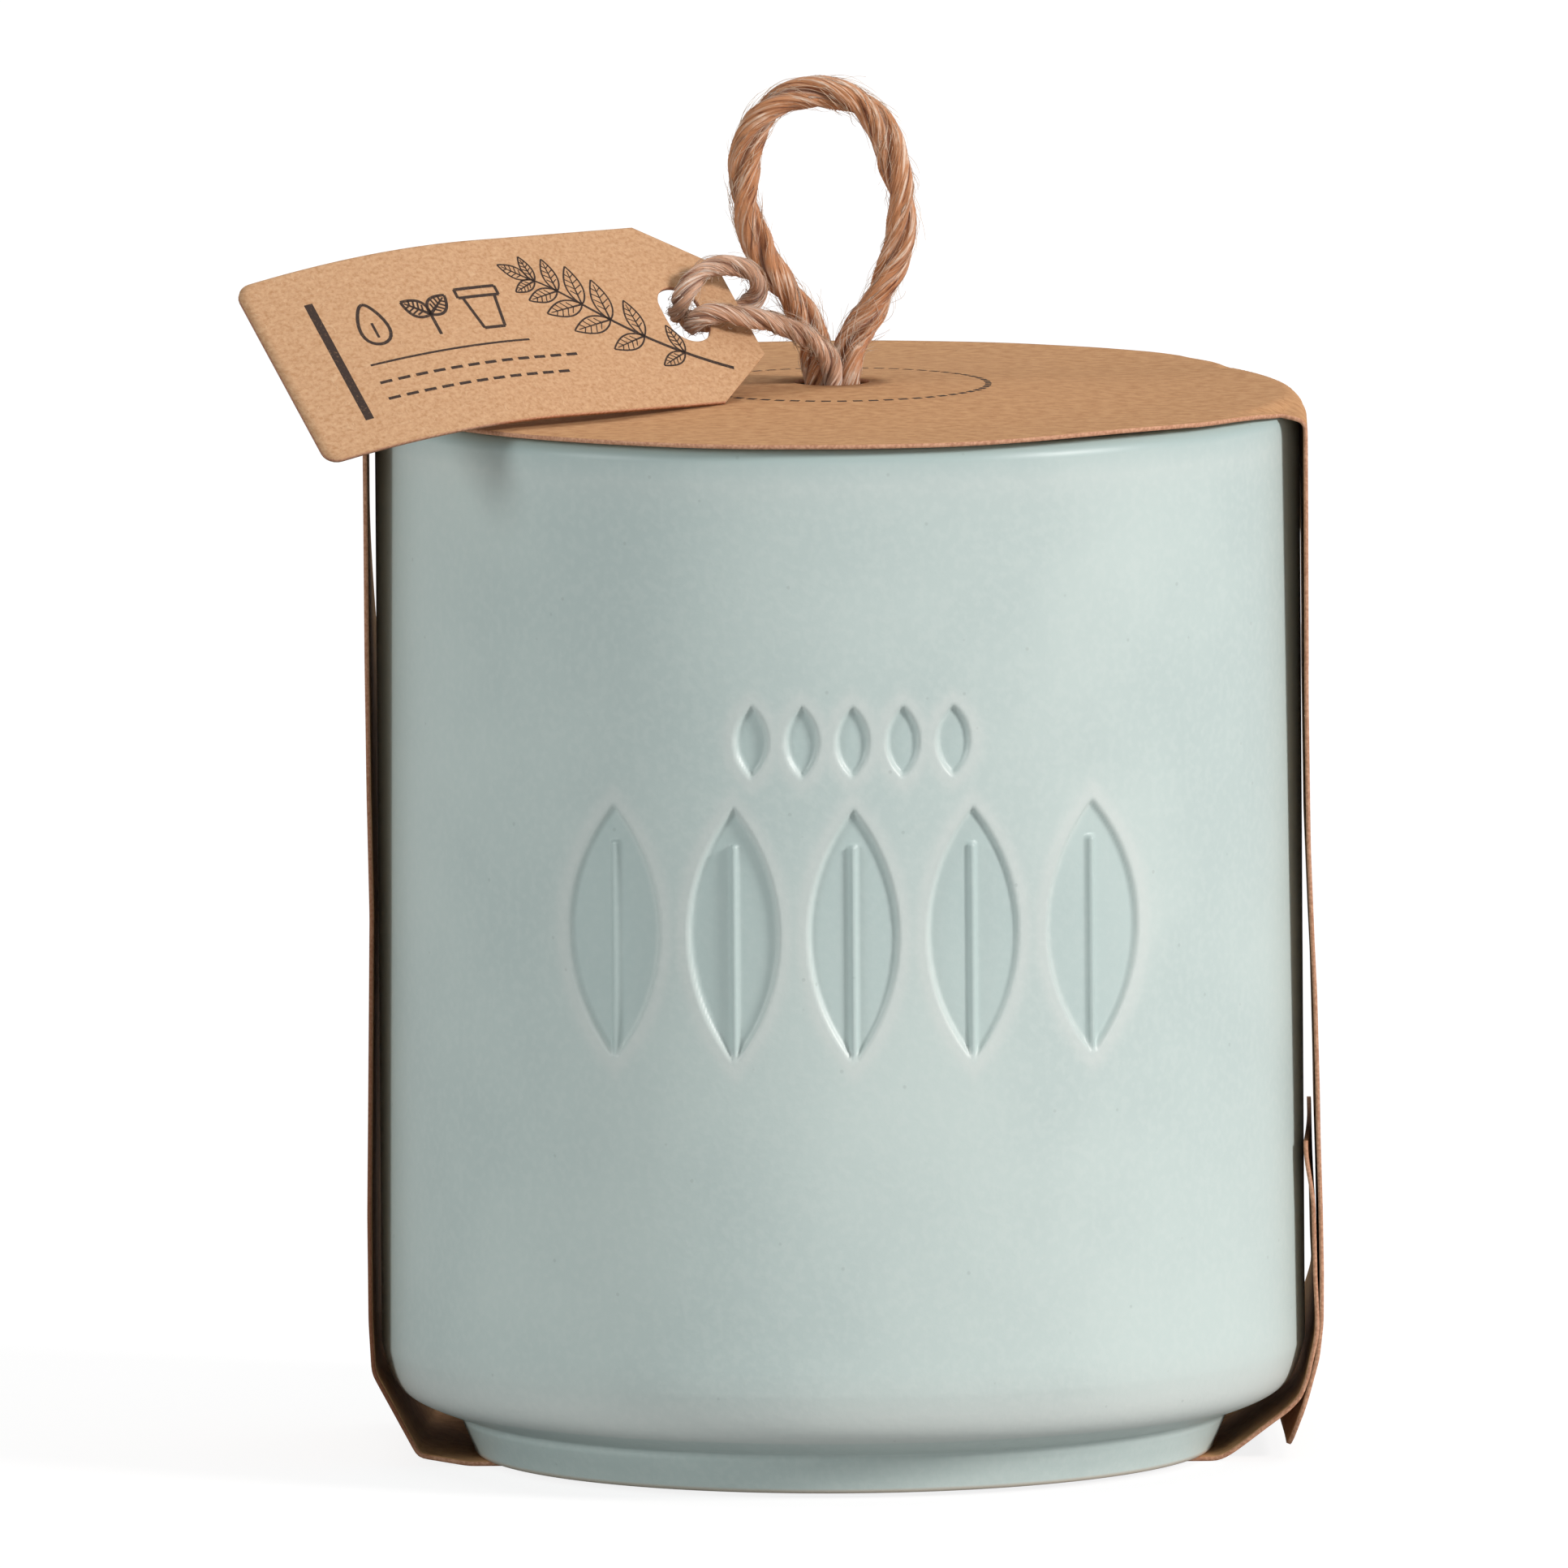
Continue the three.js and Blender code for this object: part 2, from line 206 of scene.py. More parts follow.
def cord_piece(name, route, *look):
    """A twisted cord as one closed skin, and the line that its rings follow."""
    line = smooth_route(route, CORD_STEP)
    points, around, shade = cord_skin(line, *look)
    faces = grid_faces(len(line), CORD_SIDES, wrap=True)
    first, last = len(points), len(points) + 1
    points += [line[0], line[-1]]
    around += [(0.0, 0.5), (0.0, 0.5)]
    # The end caps take the full painted shade.
    shade += [1.0, 1.0]
    top = (len(line) - 1) * CORD_SIDES
    for j in range(CORD_SIDES):
        k = (j + 1) % CORD_SIDES
        faces += [(first, k, j), (last, top + j, top + k)]
    piece = new_piece(name, points, faces)
    set_values(piece, "groove_shade", shade)
    layer = piece.data.uv_layers.new(name="along_round")
    for poly in piece.data.polygons:
        turns = [around[v] for v in poly.vertices]
        high = max(t[1] for t in turns)
        for loop, (along, share) in zip(poly.loop_indices, turns):
            layer.data[loop].uv = (along, share + 1.0 if high - share > 0.5 else share)
    return piece, line


# The same two routes as the CAD tubes, in millimetres.
TWINE_ROUTE = [
    (-2.75, 0, 138.9), (-2.75, 0, 142), (-2.85, 0, 144.6), (-3.7, 0, 147),
    (-5.3, 0.1, 149.9), (-7.1, 0.2, 152.3), (-8.8, 0.4, 154.6), (-10.2, 0.6, 157.6),
    (-11.4, 0.8, 161), (-11.9, 1, 165), (-11.6, 1.2, 169), (-10.5, 1.4, 172.2),
    (-8.9, 1.5, 174.4), (-6.8, 1.6, 176), (-4.5, 1.6, 176.8), (-2, 1.6, 177),
    (0.8, 1.6, 176.5), (3.3, 1.6, 175.4), (5.3, 1.5, 173.4), (6.6, 1.4, 171),
    (7.5, 1.2, 168), (8.3, 1, 164.6), (8.6, 0.8, 161), (8.2, 0.6, 157.5),
    (7.2, 0.4, 154.5), (5.9, 0.2, 151.5), (4.6, 0.1, 148.7), (2.9, 0, 146.3),
    (1.75, 0, 144.3), (1.45, 0, 142), (1.45, 0, 138.9),
]
STRING_ROUTE = [
    (-0.6, -3.2, 138.9), (-0.6, -3.3, 140.8), (-1, -3.8, 142.8), (-2.4, -4.9, 144.7),
    (-4.8, -6.6, 146.5), (-7.6, -8.3, 147.9), (-11.3, -10.4, 149), (-13.6, -11.2, 149.5),
    (-15.5, -11.9, 149.7), (-17.1, -12.1, 149.5), (-18.3, -11.4, 148.7),
    (-18.4, -9.9, 148), (-17.6, -8.4, 147.9), (-15.5, -6.2, 148.4), (-13, -4.4, 149.2),
    (-11.3, -3.4, 150), (-10.2, -3.7, 151.5), (-10.3, -4.6, 153.1), (-11.3, -5.5, 154.4),
    (-13.4, -6.5, 155.3), (-15.5, -7.6, 155.4), (-17.2, -8.7, 154.9),
    (-18.6, -9.8, 153.6), (-19.7, -10.2, 152), (-20.3, -9.3, 150.6),
    (-20.5, -7.6, 149.6), (-20.1, -5.5, 148.6), (-18.7, -3.7, 147.9),
    (-16.8, -2.5, 147.5), (-14.3, -1.5, 147.2), (-11.5, 0.1, 147.7), (-8.3, 2, 147.1),
    (-5.6, 3.8, 145.7), (-3.1, 4.5, 143.7), (-1.2, 3.8, 141.6), (-0.6, 3.2, 138.9),
]
TWINE_DIAMETER, TWINE_PITCH = 4.0, 26
STRING_DIAMETER, STRING_PITCH = 2.6, 13

# After the pitch come the groove's depth, the strands' relief and the seed.
twine, twine_line = cord_piece(
    "twine_loop_jute", TWINE_ROUTE, TWINE_DIAMETER, TWINE_PITCH, 0.5, 0.3, 3)
string, string_line = cord_piece(
    "tag_string_jute", STRING_ROUTE, STRING_DIAMETER, STRING_PITCH, 0.42, 0.2, 11)
print("twine:", len(twine.data.vertices), "points; string:", len(string.data.vertices), "points")

# %% [markdown]
# ## Loose hairs
# Jute is never smooth: fine fibres leave the plies, run along a little and stand off.
# Each hair here is a thin three-sided tube that starts on the cord and drifts outwards.
# They are real geometry, so that the cord's outline is fuzzy from every side.

# %% Hairs on the twine and the string
NEAR_HOLE = 64  # steps of a cord's line, counted from the hole
HAIR_SIDES = 3


def hair_tube(route, radius, points, faces):
    """Adds a thin closed tube along a short route to a list of points and faces."""
    side, up = carried_frames(route)
    start = len(points)
    for i, centre in enumerate(route):
        slim = radius * (1 - 0.6 * i / (len(route) - 1))
        turns = [2 * math.pi * k / HAIR_SIDES for k in range(HAIR_SIDES)]
        points += [beside(centre, side[i], up[i], turn, slim) for turn in turns]
    faces += tube_faces(start, len(route), HAIR_SIDES)


def hairs(name, line, diameter, count, pitch, stand_off, seed):
    """Loose fibres round a cord, drawn with a seeded generator."""
    draw = np.random.default_rng(seed)
    side, up = carried_frames(line)
    points, faces = [], []
    for _ in range(count):
        begin = draw.integers(6, len(line) - 30)
        span = int(draw.integers(8, 34))
        angle = draw.uniform(0, 2 * math.pi)
        twist = 2 * math.pi * CORD_STEP / pitch + draw.normal(0, 0.035)
        lift = draw.uniform(0.1, 1.0) ** 2.5 * stand_off
        wave = draw.uniform(-0.3, 0.3)
        route = []
        for k in range(0, span, 2):
            i = min(begin + k, len(line) - 1)
            share = k / span
            out = diameter / 2 * 0.93 + lift * share**1.5 + wave * math.sin(4 * share)
            route.append(beside(line[i], side[i], up[i], angle + twist * k, out))
        hair_tube(np.array(route), draw.uniform(0.03, 0.05), points, faces)
    return new_piece(name, points, faces)


# After the diameter come the number of hairs, the pitch, how far they stand off and the seed.
twine_hairs = hairs("twine_hairs", twine_line, TWINE_DIAMETER, 420, TWINE_PITCH, 1.5, 21)
string_hairs = hairs("string_hairs", string_line, STRING_DIAMETER, 380, STRING_PITCH, 1.5, 22)
hole_fuzz = [
    hairs("hole_fuzz_left", twine_line[:NEAR_HOLE], TWINE_DIAMETER, 60, TWINE_PITCH, 1.9, 31),
    hairs("hole_fuzz_right", twine_line[:-NEAR_HOLE:-1], TWINE_DIAMETER, 60, -TWINE_PITCH, 1.9, 32),
    hairs("hole_fuzz_string", string_line[:NEAR_HOLE], STRING_DIAMETER, 60, STRING_PITCH, 1.7, 33)]
print("hairs:", len(twine_hairs.data.polygons) + len(string_hairs.data.polygons), "faces")

# %% [markdown]
# ## Shader groups
# Effects that several finishes share are node groups with named inputs. The first gives
# fine streaks along one direction, for card fibres and for jute. The second gives soft
# clouds, for a glaze of uneven depth. A group gives out only masks and heights: the
# shader itself stays in each material.

# %% Node helpers
def linear(red, green, blue):
    """An sRGB colour, 0 to 255, as the linear values that Blender's sockets hold."""
    shares = [c / 255 for c in (red, green, blue)]
    return tuple(c / 12.92 if c <= 0.04045 else ((c + 0.055) / 1.055) ** 2.4 for c in shares) + (1.0,)


def add_node(tree, kind, inputs=None, **settings):
    """A node with its settings, and with values or links given by input name or number."""
    node = tree.nodes.new(kind)
    for key, value in settings.items():
        setattr(node, key, value)
    for key, value in (inputs or {}).items():
        if isinstance(value, bpy.types.NodeSocket):
            tree.links.new(value, node.inputs[key])
        else:
            node.inputs[key].default_value = value
    return node


def noisy(tree, vector, scale, detail=2.0, roughness=0.5, distortion=0.0):
    """A noise texture's value."""
    return add_node(tree, "ShaderNodeTexNoise", {
        "Vector": vector, "Scale": scale, "Detail": detail, "Roughness": roughness,
        "Distortion": distortion}).outputs[0]


def maths(tree, operation, *values):
    """Values multiplied, added or compared."""
    return add_node(tree, "ShaderNodeMath", dict(enumerate(values)), operation=operation).outputs[0]


def ranged(tree, value, low, high, to_low=0.0, to_high=1.0, way="SMOOTHSTEP"):
    """A value eased from one range into another."""
    return add_node(tree, "ShaderNodeMapRange", {
        "Value": value, "From Min": low, "From Max": high, "To Min": to_low, "To Max": to_high},
        interpolation_type=way).outputs[0]


def mixed(tree, mask, first, second):
    """One colour turning into another as the mask goes from 0 to 1."""
    return add_node(tree, "ShaderNodeMix", {0: mask, 6: first, 7: second}, data_type="RGBA").outputs[2]


def new_group(name, inputs, outputs):
    """A shader node group whose first input is a vector, and the other sockets numbers."""
    group = bpy.data.node_groups.new(name, "ShaderNodeTree")
    group.interface.new_socket("Vector", in_out="INPUT", socket_type="NodeSocketVector")
    for socket, value in inputs.items():
        made = group.interface.new_socket(socket, in_out="INPUT", socket_type="NodeSocketFloat")
        made.default_value = value
    for socket in outputs:
        group.interface.new_socket(socket, in_out="OUTPUT", socket_type="NodeSocketFloat")
    return group, group.nodes.new("NodeGroupInput").outputs


def give_out(group, **values):
    """Links what a group has made to its output sockets."""
    add_node(group, "NodeGroupOutput", values)


print("node helpers are ready")

# %% Groups for fibres and for glaze
def streaks_group():
    """Fine fibres that run along the first axis of the given coordinates."""
    group, given = new_group(
        "fibre_streaks",
        {"Length Scale": 300.0, "Width Scale": 3000.0, "Cloud Scale": 170.0, "Flecks": 0.5},
        ("Streak", "Cloud", "Fleck", "Height"))
    split = add_node(group, "ShaderNodeSeparateXYZ", {0: given["Vector"]}).outputs
    stretched = add_node(group, "ShaderNodeCombineXYZ", {
        axis: maths(group, "MULTIPLY", split[axis], given[scale])
        for axis, scale in enumerate(("Length Scale", "Width Scale", "Width Scale"))}).outputs[0]
    streak = noisy(group, stretched, 1.0, 5.0, 0.62, 0.6)
    cloud = noisy(group, given["Vector"], given["Cloud Scale"], 4.0, 0.6)
    half = add_node(group, "ShaderNodeVectorMath", {0: stretched, 1: (0.9, 0.45, 0.45)},
                    operation="MULTIPLY").outputs[0]
    fleck = ranged(group, noisy(group, half, 1.0, 2.0, 0.5, 1.4), 0.6, 0.74, 0.0, given["Flecks"])
    give_out(group, Streak=streak, Cloud=cloud, Fleck=fleck, Height=maths(group, "ADD", streak, fleck))
    return group


def clouds_group():
    """Slow clouds, fine grain and a few small specks, for a glaze."""
    group, given = new_group(
        "glaze_clouds", {"Cloud Scale": 28.0, "Speck Scale": 620.0}, ("Cloud", "Grain", "Speck"))
    cells = add_node(group, "ShaderNodeTexVoronoi", {
        "Vector": given["Vector"], "Scale": given["Speck Scale"], "Randomness": 1.0}).outputs
    pick = add_node(group, "ShaderNodeSeparateColor", {0: cells["Color"]}).outputs[0]
    near = ranged(group, cells["Distance"], 0.1, 0.22, 1.0, 0.0, way="LINEAR")
    give_out(group,
             Cloud=noisy(group, given["Vector"], given["Cloud Scale"], 3.0),
             Grain=noisy(group, given["Vector"], 900.0),
             Speck=maths(group, "MULTIPLY", near, maths(group, "GREATER_THAN", pick, 0.965)))
    return group


fibre_streaks = streaks_group()
glaze_clouds = clouds_group()
print("shader groups:", [g.name for g in bpy.data.node_groups])

# %% [markdown]
# ## Materials
# Each finish is a Principled shader fed by the groups. Plain numbers sit on the shader's
# own sockets, and only what changes over the surface is linked to it.

# %% Material helpers
def new_material(name, roughness, **fixed):
    """A material's node tree and Principled shader, with constant values set on its sockets."""
    material = bpy.data.materials.new(name)
    material.use_nodes = True
    shader = material.node_tree.nodes["Principled BSDF"]
    shader.inputs["Roughness"].default_value = roughness
    for socket, value in fixed.items():
        shader.inputs[socket.replace("_", " ")].default_value = value
    return material, material.node_tree, shader


def coloured(tree, shader, base, height=None, relief=0.0):
    """Links a colour to the shader, and a height as fine relief, in metres."""
    tree.links.new(base, shader.inputs["Base Color"])
    if height:
        bump = add_node(tree, "ShaderNodeBump", {"Height": height, "Distance": relief})
        tree.links.new(bump.outputs[0], shader.inputs["Normal"])


def from_uv(tree, layer):
    """Coordinates from a named UV layer."""
    return add_node(tree, "ShaderNodeUVMap", uv_map=layer).outputs[0]


def from_place(tree):
    """Coordinates from the piece's own space, in metres."""
    return add_node(tree, "ShaderNodeTexCoord").outputs["Object"]


def from_points(tree, name):
    """A number that the mesh keeps for each point."""
    return add_node(tree, "ShaderNodeAttribute", attribute_name=name).outputs["Fac"]


def placed(tree, group, **inputs):
    """A shader group in a material, with this material's values."""
    inputs = {key.replace("_", " "): value for key, value in inputs.items()}
    return add_node(tree, "ShaderNodeGroup", inputs, node_tree=group).outputs


print("material helpers are ready")

# %% Brown card, its cut edge and jute
def card_material(name, light, middle, dark, length, width, cloud):
    """Uncoated brown card: fibres that run one way, pale and dark flecks, soft clouds."""
    material, tree, shader = new_material(name, 0.82, Specular_IOR_Level=0.25)
    fibres = placed(tree, fibre_streaks, Vector=from_uv(tree, "card_grain"), Length_Scale=length,
                    Width_Scale=width, Cloud_Scale=cloud, Flecks=0.55)
    base = mixed(tree, ranged(tree, fibres["Streak"], 0.3, 0.7), dark, middle)
    base = mixed(tree, ranged(tree, fibres["Cloud"], 0.38, 0.62, 0.0, 0.42), base, light)
    base = mixed(tree, fibres["Fleck"], base, light)
    coloured(tree, shader, base, fibres["Height"], 0.00006)
    return material


def jute_material(name, light, middle, dark):
    """Jute: fibres along the twisted plies, from pale straw to red-brown, with painted shade in the grooves.
    """
    material, tree, shader = new_material(
        name, 0.75, Specular_IOR_Level=0.35, Sheen_Weight=0.25, Sheen_Roughness=0.4)
    fibres = placed(tree, fibre_streaks, Vector=from_uv(tree, "along_round"), Length_Scale=0.16,
                    Width_Scale=26.0, Flecks=0.8)
    patches = noisy(tree, from_place(tree), 380.0)
    base = mixed(tree, ranged(tree, fibres["Streak"], 0.34, 0.5), dark, middle)
    base = mixed(tree, ranged(tree, fibres["Streak"], 0.5, 0.64), base, light)
    base = mixed(tree, ranged(tree, patches, 0.44, 0.6, 0.0, 0.55), base, middle)
    base = mixed(tree, fibres["Fleck"], base, light)
    # Darker in the grooves between the plies: painted shade.
    groove = ranged(tree, from_points(tree, "groove_shade"), 0.15, 1.0, 0.0, 0.8)
    coloured(tree, shader, mixed(tree, groove, base, dark), fibres["Height"], 0.0004)
    return material


sleeve_card = card_material("sleeve_card", linear(210, 166, 121), linear(194, 148, 104),
                            linear(170, 123, 82), 480.0, 2200.0, 560.0)
tag_card = card_material("tag_card", linear(205, 170, 134), linear(193, 154, 117),
                         linear(172, 130, 92), 1100.0, 1700.0, 2000.0)
twine_jute = jute_material("twine_jute", linear(232, 208, 186), linear(192, 134, 92), linear(112, 62, 36))
string_jute = jute_material("string_jute", linear(240, 222, 206), linear(206, 162, 132), linear(124, 76, 52))


def cut_edge_material():
    """The cut edge of the card, where its layers show, with painted shade on the left strap's edge."""
    material, tree, shader = new_material("card_cut_edge", 0.9, Specular_IOR_Level=0.2)
    grain = noisy(tree, from_place(tree), 2600.0, 3.0)
    base = mixed(tree, ranged(tree, grain, 0.3, 0.7), linear(176, 128, 100), linear(208, 162, 132))
    # The left strap's cut edge is painted darker, most at the bottom: painted shade.
    place = add_node(tree, "ShaderNodeSeparateXYZ", {0: from_place(tree)}).outputs
    left = ranged(tree, place[0], -0.052, -0.058)
    lower = ranged(tree, place[2], 0.14, 0.02, 0.25, 0.85)
    base = mixed(tree, maths(tree, "MULTIPLY", left, lower), base, linear(104, 58, 34))
    coloured(tree, shader, base, grain, 0.00004)
    return material


def hair_material(name, colour):
    """Single fibres, which shade from one to the next."""
    material, tree, shader = new_material(name, 0.6, Sheen_Weight=0.3)
    shade = ranged(tree, noisy(tree, from_place(tree), 400.0), 0.35, 0.65)
    coloured(tree, shader, mixed(tree, shade, linear(182, 142, 106), colour))
    return material


card_cut_edge = cut_edge_material()
twine_hair = hair_material("twine_hair", linear(228, 206, 180))
string_hair = hair_material("string_hair", linear(242, 230, 214))
print("card and jute finishes are ready")

# %% The pot's glaze
def glaze_material():
    """A pale grey-green glaze: darker where it pools, paler and warmer where it thins, with painted shade
    under the card's edge and painted highlights at the rim and the shoulder.
    """
    material, tree, shader = new_material(
        "pot_glaze", 0.4, Coat_Weight=0.05, Coat_Roughness=0.3, IOR=1.42)
    clouds = placed(tree, glaze_clouds, Vector=from_place(tree))
    body = mixed(tree, ranged(tree, clouds["Cloud"], 0.3, 0.7), linear(184, 201, 198), linear(194, 210, 206))
    for mask, colour in (
            (ranged(tree, clouds["Grain"], 0.4, 0.7, 0.0, 0.25), linear(204, 216, 212)),
            # Paler where the glaze thins round the design; the same pale colour at the rim and the shoulder
            # is a painted highlight.
            (from_points(tree, "thin_glaze"), linear(222, 223, 219)),
            # Darker where the glaze pools in the design; the same colour under the card's edge is painted
            # shade.
            (from_points(tree, "pooled_glaze"), linear(168, 190, 188)),
            (from_points(tree, "bare_clay"), linear(186, 180, 166)),
            (ranged(tree, clouds["Speck"], 0.2, 1.0, 0.0, 0.2), linear(120, 136, 132))):
        body = mixed(tree, mask, body, colour)
    coloured(tree, shader, body, clouds["Grain"], 0.00003)
    return material


pot_glaze = glaze_material()
print("glaze is ready")

# %% [markdown]
# ## The pot
# A thrown or cast pot is a turned shape, so its mesh is a profile carried round the axis.
# The pressed design on its front needs a far finer grid than the plain sides do, so the
# columns and rows are close together only there. The design itself is a formula: upright
# leaves, each the overlap of two circles, pressed in with a soft edge.

# %% Pot profile
low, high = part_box("pot")
POT_RADIUS = high.x / MM
RIM_Z = high.z / MM
FOOT_Z = low.z / MM
FOOT_RADIUS = 47.9
POT_WALL = 5.2
POT_FLOOR = 6.8
RIM_ROUND = 2.3  # outside radius of the rim's top edge
WALL_FROM = 15.0  # the straight wall starts here, above the rounded shoulder


def arc_points(centre, radius, start, end, steps):
    """Points on a circle's arc, angles in degrees."""
    turns = np.radians(np.linspace(start, end, steps + 1))
    return [(centre[0] + radius * math.cos(t), centre[1] + radius * math.sin(t)) for t in turns]


def bezier(p0, p1, p2, p3, steps):
    """A cubic curve between two points."""
    p = [np.array(q, float) for q in (p0, p1, p2, p3)]
    line = []
    for t in np.linspace(0, 1, steps + 1):
        s = 1 - t
        line.append(tuple(s**3 * p[0] + 3 * s * s * t * p[1] + 3 * s * t * t * p[2] + t**3 * p[3]))
    return line


def pot_profile(wall_rows):
    """The pot's outline from the middle of its underside round to its inside floor."""
    inner = POT_RADIUS - POT_WALL
    inner_rim, floor_round = 1.6, 8.0
    floor_z = FOOT_Z + POT_FLOOR
    underside_z = FOOT_Z + 1.8
    outline = [(0.01, underside_z), (20.0, underside_z), (39.5, underside_z)]
    outline += bezier((40.0, underside_z), (41.0, FOOT_Z + 1.5), (41.0, FOOT_Z), (41.8, FOOT_Z), 5)
    outline += [(FOOT_RADIUS - 0.8, FOOT_Z)]
    outline += arc_points((FOOT_RADIUS - 0.6, FOOT_Z + 0.6), 0.6, -60, 10, 4)
    outline += [(FOOT_RADIUS + 0.9, 3.2), (FOOT_RADIUS + 1.5, 4.6), (FOOT_RADIUS + 1.75, 5.2),
                (FOOT_RADIUS + 1.6, 5.55), (FOOT_RADIUS + 1.95, 5.85), (FOOT_RADIUS + 2.2, 6.0)]
    outline += bezier((50.5, 6.1), (57.2, 8.4), (58.4, 8.6), (POT_RADIUS, WALL_FROM), 22)
    outline += [(POT_RADIUS, z) for z in wall_rows]
    outline += arc_points((POT_RADIUS - RIM_ROUND, RIM_Z - RIM_ROUND), RIM_ROUND, 0, 90, 10)
    outline += arc_points((inner + inner_rim, RIM_Z - inner_rim), inner_rim, 90, 180, 6)
    outline += [(inner, z) for z in np.linspace(RIM_Z - 6, floor_z + 12, 8)]
    outline += arc_points((inner - floor_round, floor_z + floor_round), floor_round, 0, -90, 8)
    outline += [(30.0, floor_z), (0.01, floor_z)]
    return outline


print("pot:", round(2 * POT_RADIUS, 1), "mm across,", round(RIM_Z - FOOT_Z, 1), "mm tall")

# %% The pressed design
PRESS_DEPTH = 0.75
PRESS_EDGE = 0.35  # half the width of the slope at an edge
LEAF_MIDDLE_Z = 74.3
LEAF_HALF_HEIGHT = 16.2
LEAF_HALF_WIDTH = 5.7
LEAF_SPACING = 15.4
LEAF_COUNT = 5
DESIGN_X = 1.6
SEED_MIDDLE_Z = 99.4
SEED_HALF_HEIGHT = 4.4
SEED_HALF_WIDTH = 2.0
SEED_SPACING = 6.5
MIDRIB_HALF_WIDTH = 0.4


def inside_lens(x, z, half_width, half_height):
    """How far inside an upright pointed oval a place is, in mm. Negative is outside."""
    radius = (half_height**2 + half_width**2) / (2 * half_width)
    offset = radius - half_width
    return radius - np.hypot(np.abs(x) + offset, z)


def inside_design(x, z, ribs=True):
    """How far inside the pressed design a place on the wall is, with or without midribs."""
    best = np.full(np.shape(x), -99.0)
    for i in range(LEAF_COUNT):
        from_middle = i - (LEAF_COUNT - 1) / 2
        leaf_x = x - DESIGN_X - from_middle * LEAF_SPACING
        leaf_z = z - LEAF_MIDDLE_Z
        leaf = inside_lens(leaf_x, leaf_z, LEAF_HALF_WIDTH, LEAF_HALF_HEIGHT)
        rib = np.where(leaf_z < 0.72 * LEAF_HALF_HEIGHT, np.abs(leaf_x) - MIDRIB_HALF_WIDTH, 99.0)
        best = np.maximum(best, np.minimum(leaf, rib) if ribs else leaf)
        seed_x = x - DESIGN_X - from_middle * SEED_SPACING
        seed = inside_lens(seed_x, z - SEED_MIDDLE_Z, SEED_HALF_WIDTH, SEED_HALF_HEIGHT)
        best = np.maximum(best, seed)
    return best


def eased(value):
    """0 to 1 with a soft start and end."""
    t = np.clip(value, 0, 1)
    return t * t * (3 - 2 * t)


print("design:", LEAF_COUNT, "leaves, each", 2 * LEAF_HALF_HEIGHT, "mm tall")

# %% Pot mesh
FINE = 0.3  # grid size in the design, mm
DESIGN_SPAN = (-40.0, 44.0)  # round the wall
DESIGN_ROWS = (54.0, 107.0)

fine_count = int((DESIGN_SPAN[1] - DESIGN_SPAN[0]) / FINE)
fine_angles = np.linspace(*DESIGN_SPAN, fine_count + 1) / POT_RADIUS
rest_angles = np.linspace(fine_angles[-1], 2 * math.pi + fine_angles[0], 110)[1:-1]
pot_angles = np.r_[fine_angles, rest_angles]
wall_rows = np.r_[
    np.linspace(WALL_FROM, DESIGN_ROWS[0], 14)[1:-1],
    np.arange(DESIGN_ROWS[0], DESIGN_ROWS[1], FINE),
    np.linspace(DESIGN_ROWS[1], RIM_Z - RIM_ROUND, 12)[:-1]]


def closed_up(piece, distance, chosen=lambda place: True):
    """Joins the chosen points that lie within a distance, and turns all faces out."""
    bm = bmesh.new()
    bm.from_mesh(piece.data)
    bmesh.ops.remove_doubles(bm, verts=[v for v in bm.verts if chosen(v.co)], dist=distance * MM)
    bmesh.ops.recalc_face_normals(bm, faces=bm.faces)
    bm.to_mesh(piece.data)
    bm.free()


def pot_piece():
    """The turned pot with its pressed design."""
    profile = np.array(pot_profile(wall_rows))
    radius, z, turn = np.broadcast_arrays(profile[:, :1], profile[:, 1:], pot_angles[None, :])
    unrolled = np.where(turn > math.pi, turn - 2 * math.pi, turn) * POT_RADIUS
    wall = (np.abs(radius - POT_RADIUS) < 0.01) & (z > WALL_FROM)
    # The design was pressed flat on, so it is laid out by X and not round the wall.
    flat_x = POT_RADIUS * np.sin(np.clip(unrolled / POT_RADIUS, -1.4, 1.4))
    inside = np.where(wall & (np.abs(unrolled) < 60), inside_design(flat_x, z), -99.0)
    radius = radius - PRESS_DEPTH * eased((inside + PRESS_EDGE) / (2 * PRESS_EDGE))
    points = np.stack([radius * np.sin(turn), -radius * np.cos(turn), z], axis=-1)
    piece = new_piece("pot_glazed", points.reshape(-1, 3), grid_faces(*turn.shape, wrap=True))
    closed_up(piece, 0.05, lambda place: math.hypot(place.x, place.y) < 0.02 * MM)
    return piece


pot = pot_piece()
print("pot:", len(pot.data.polygons), "faces")

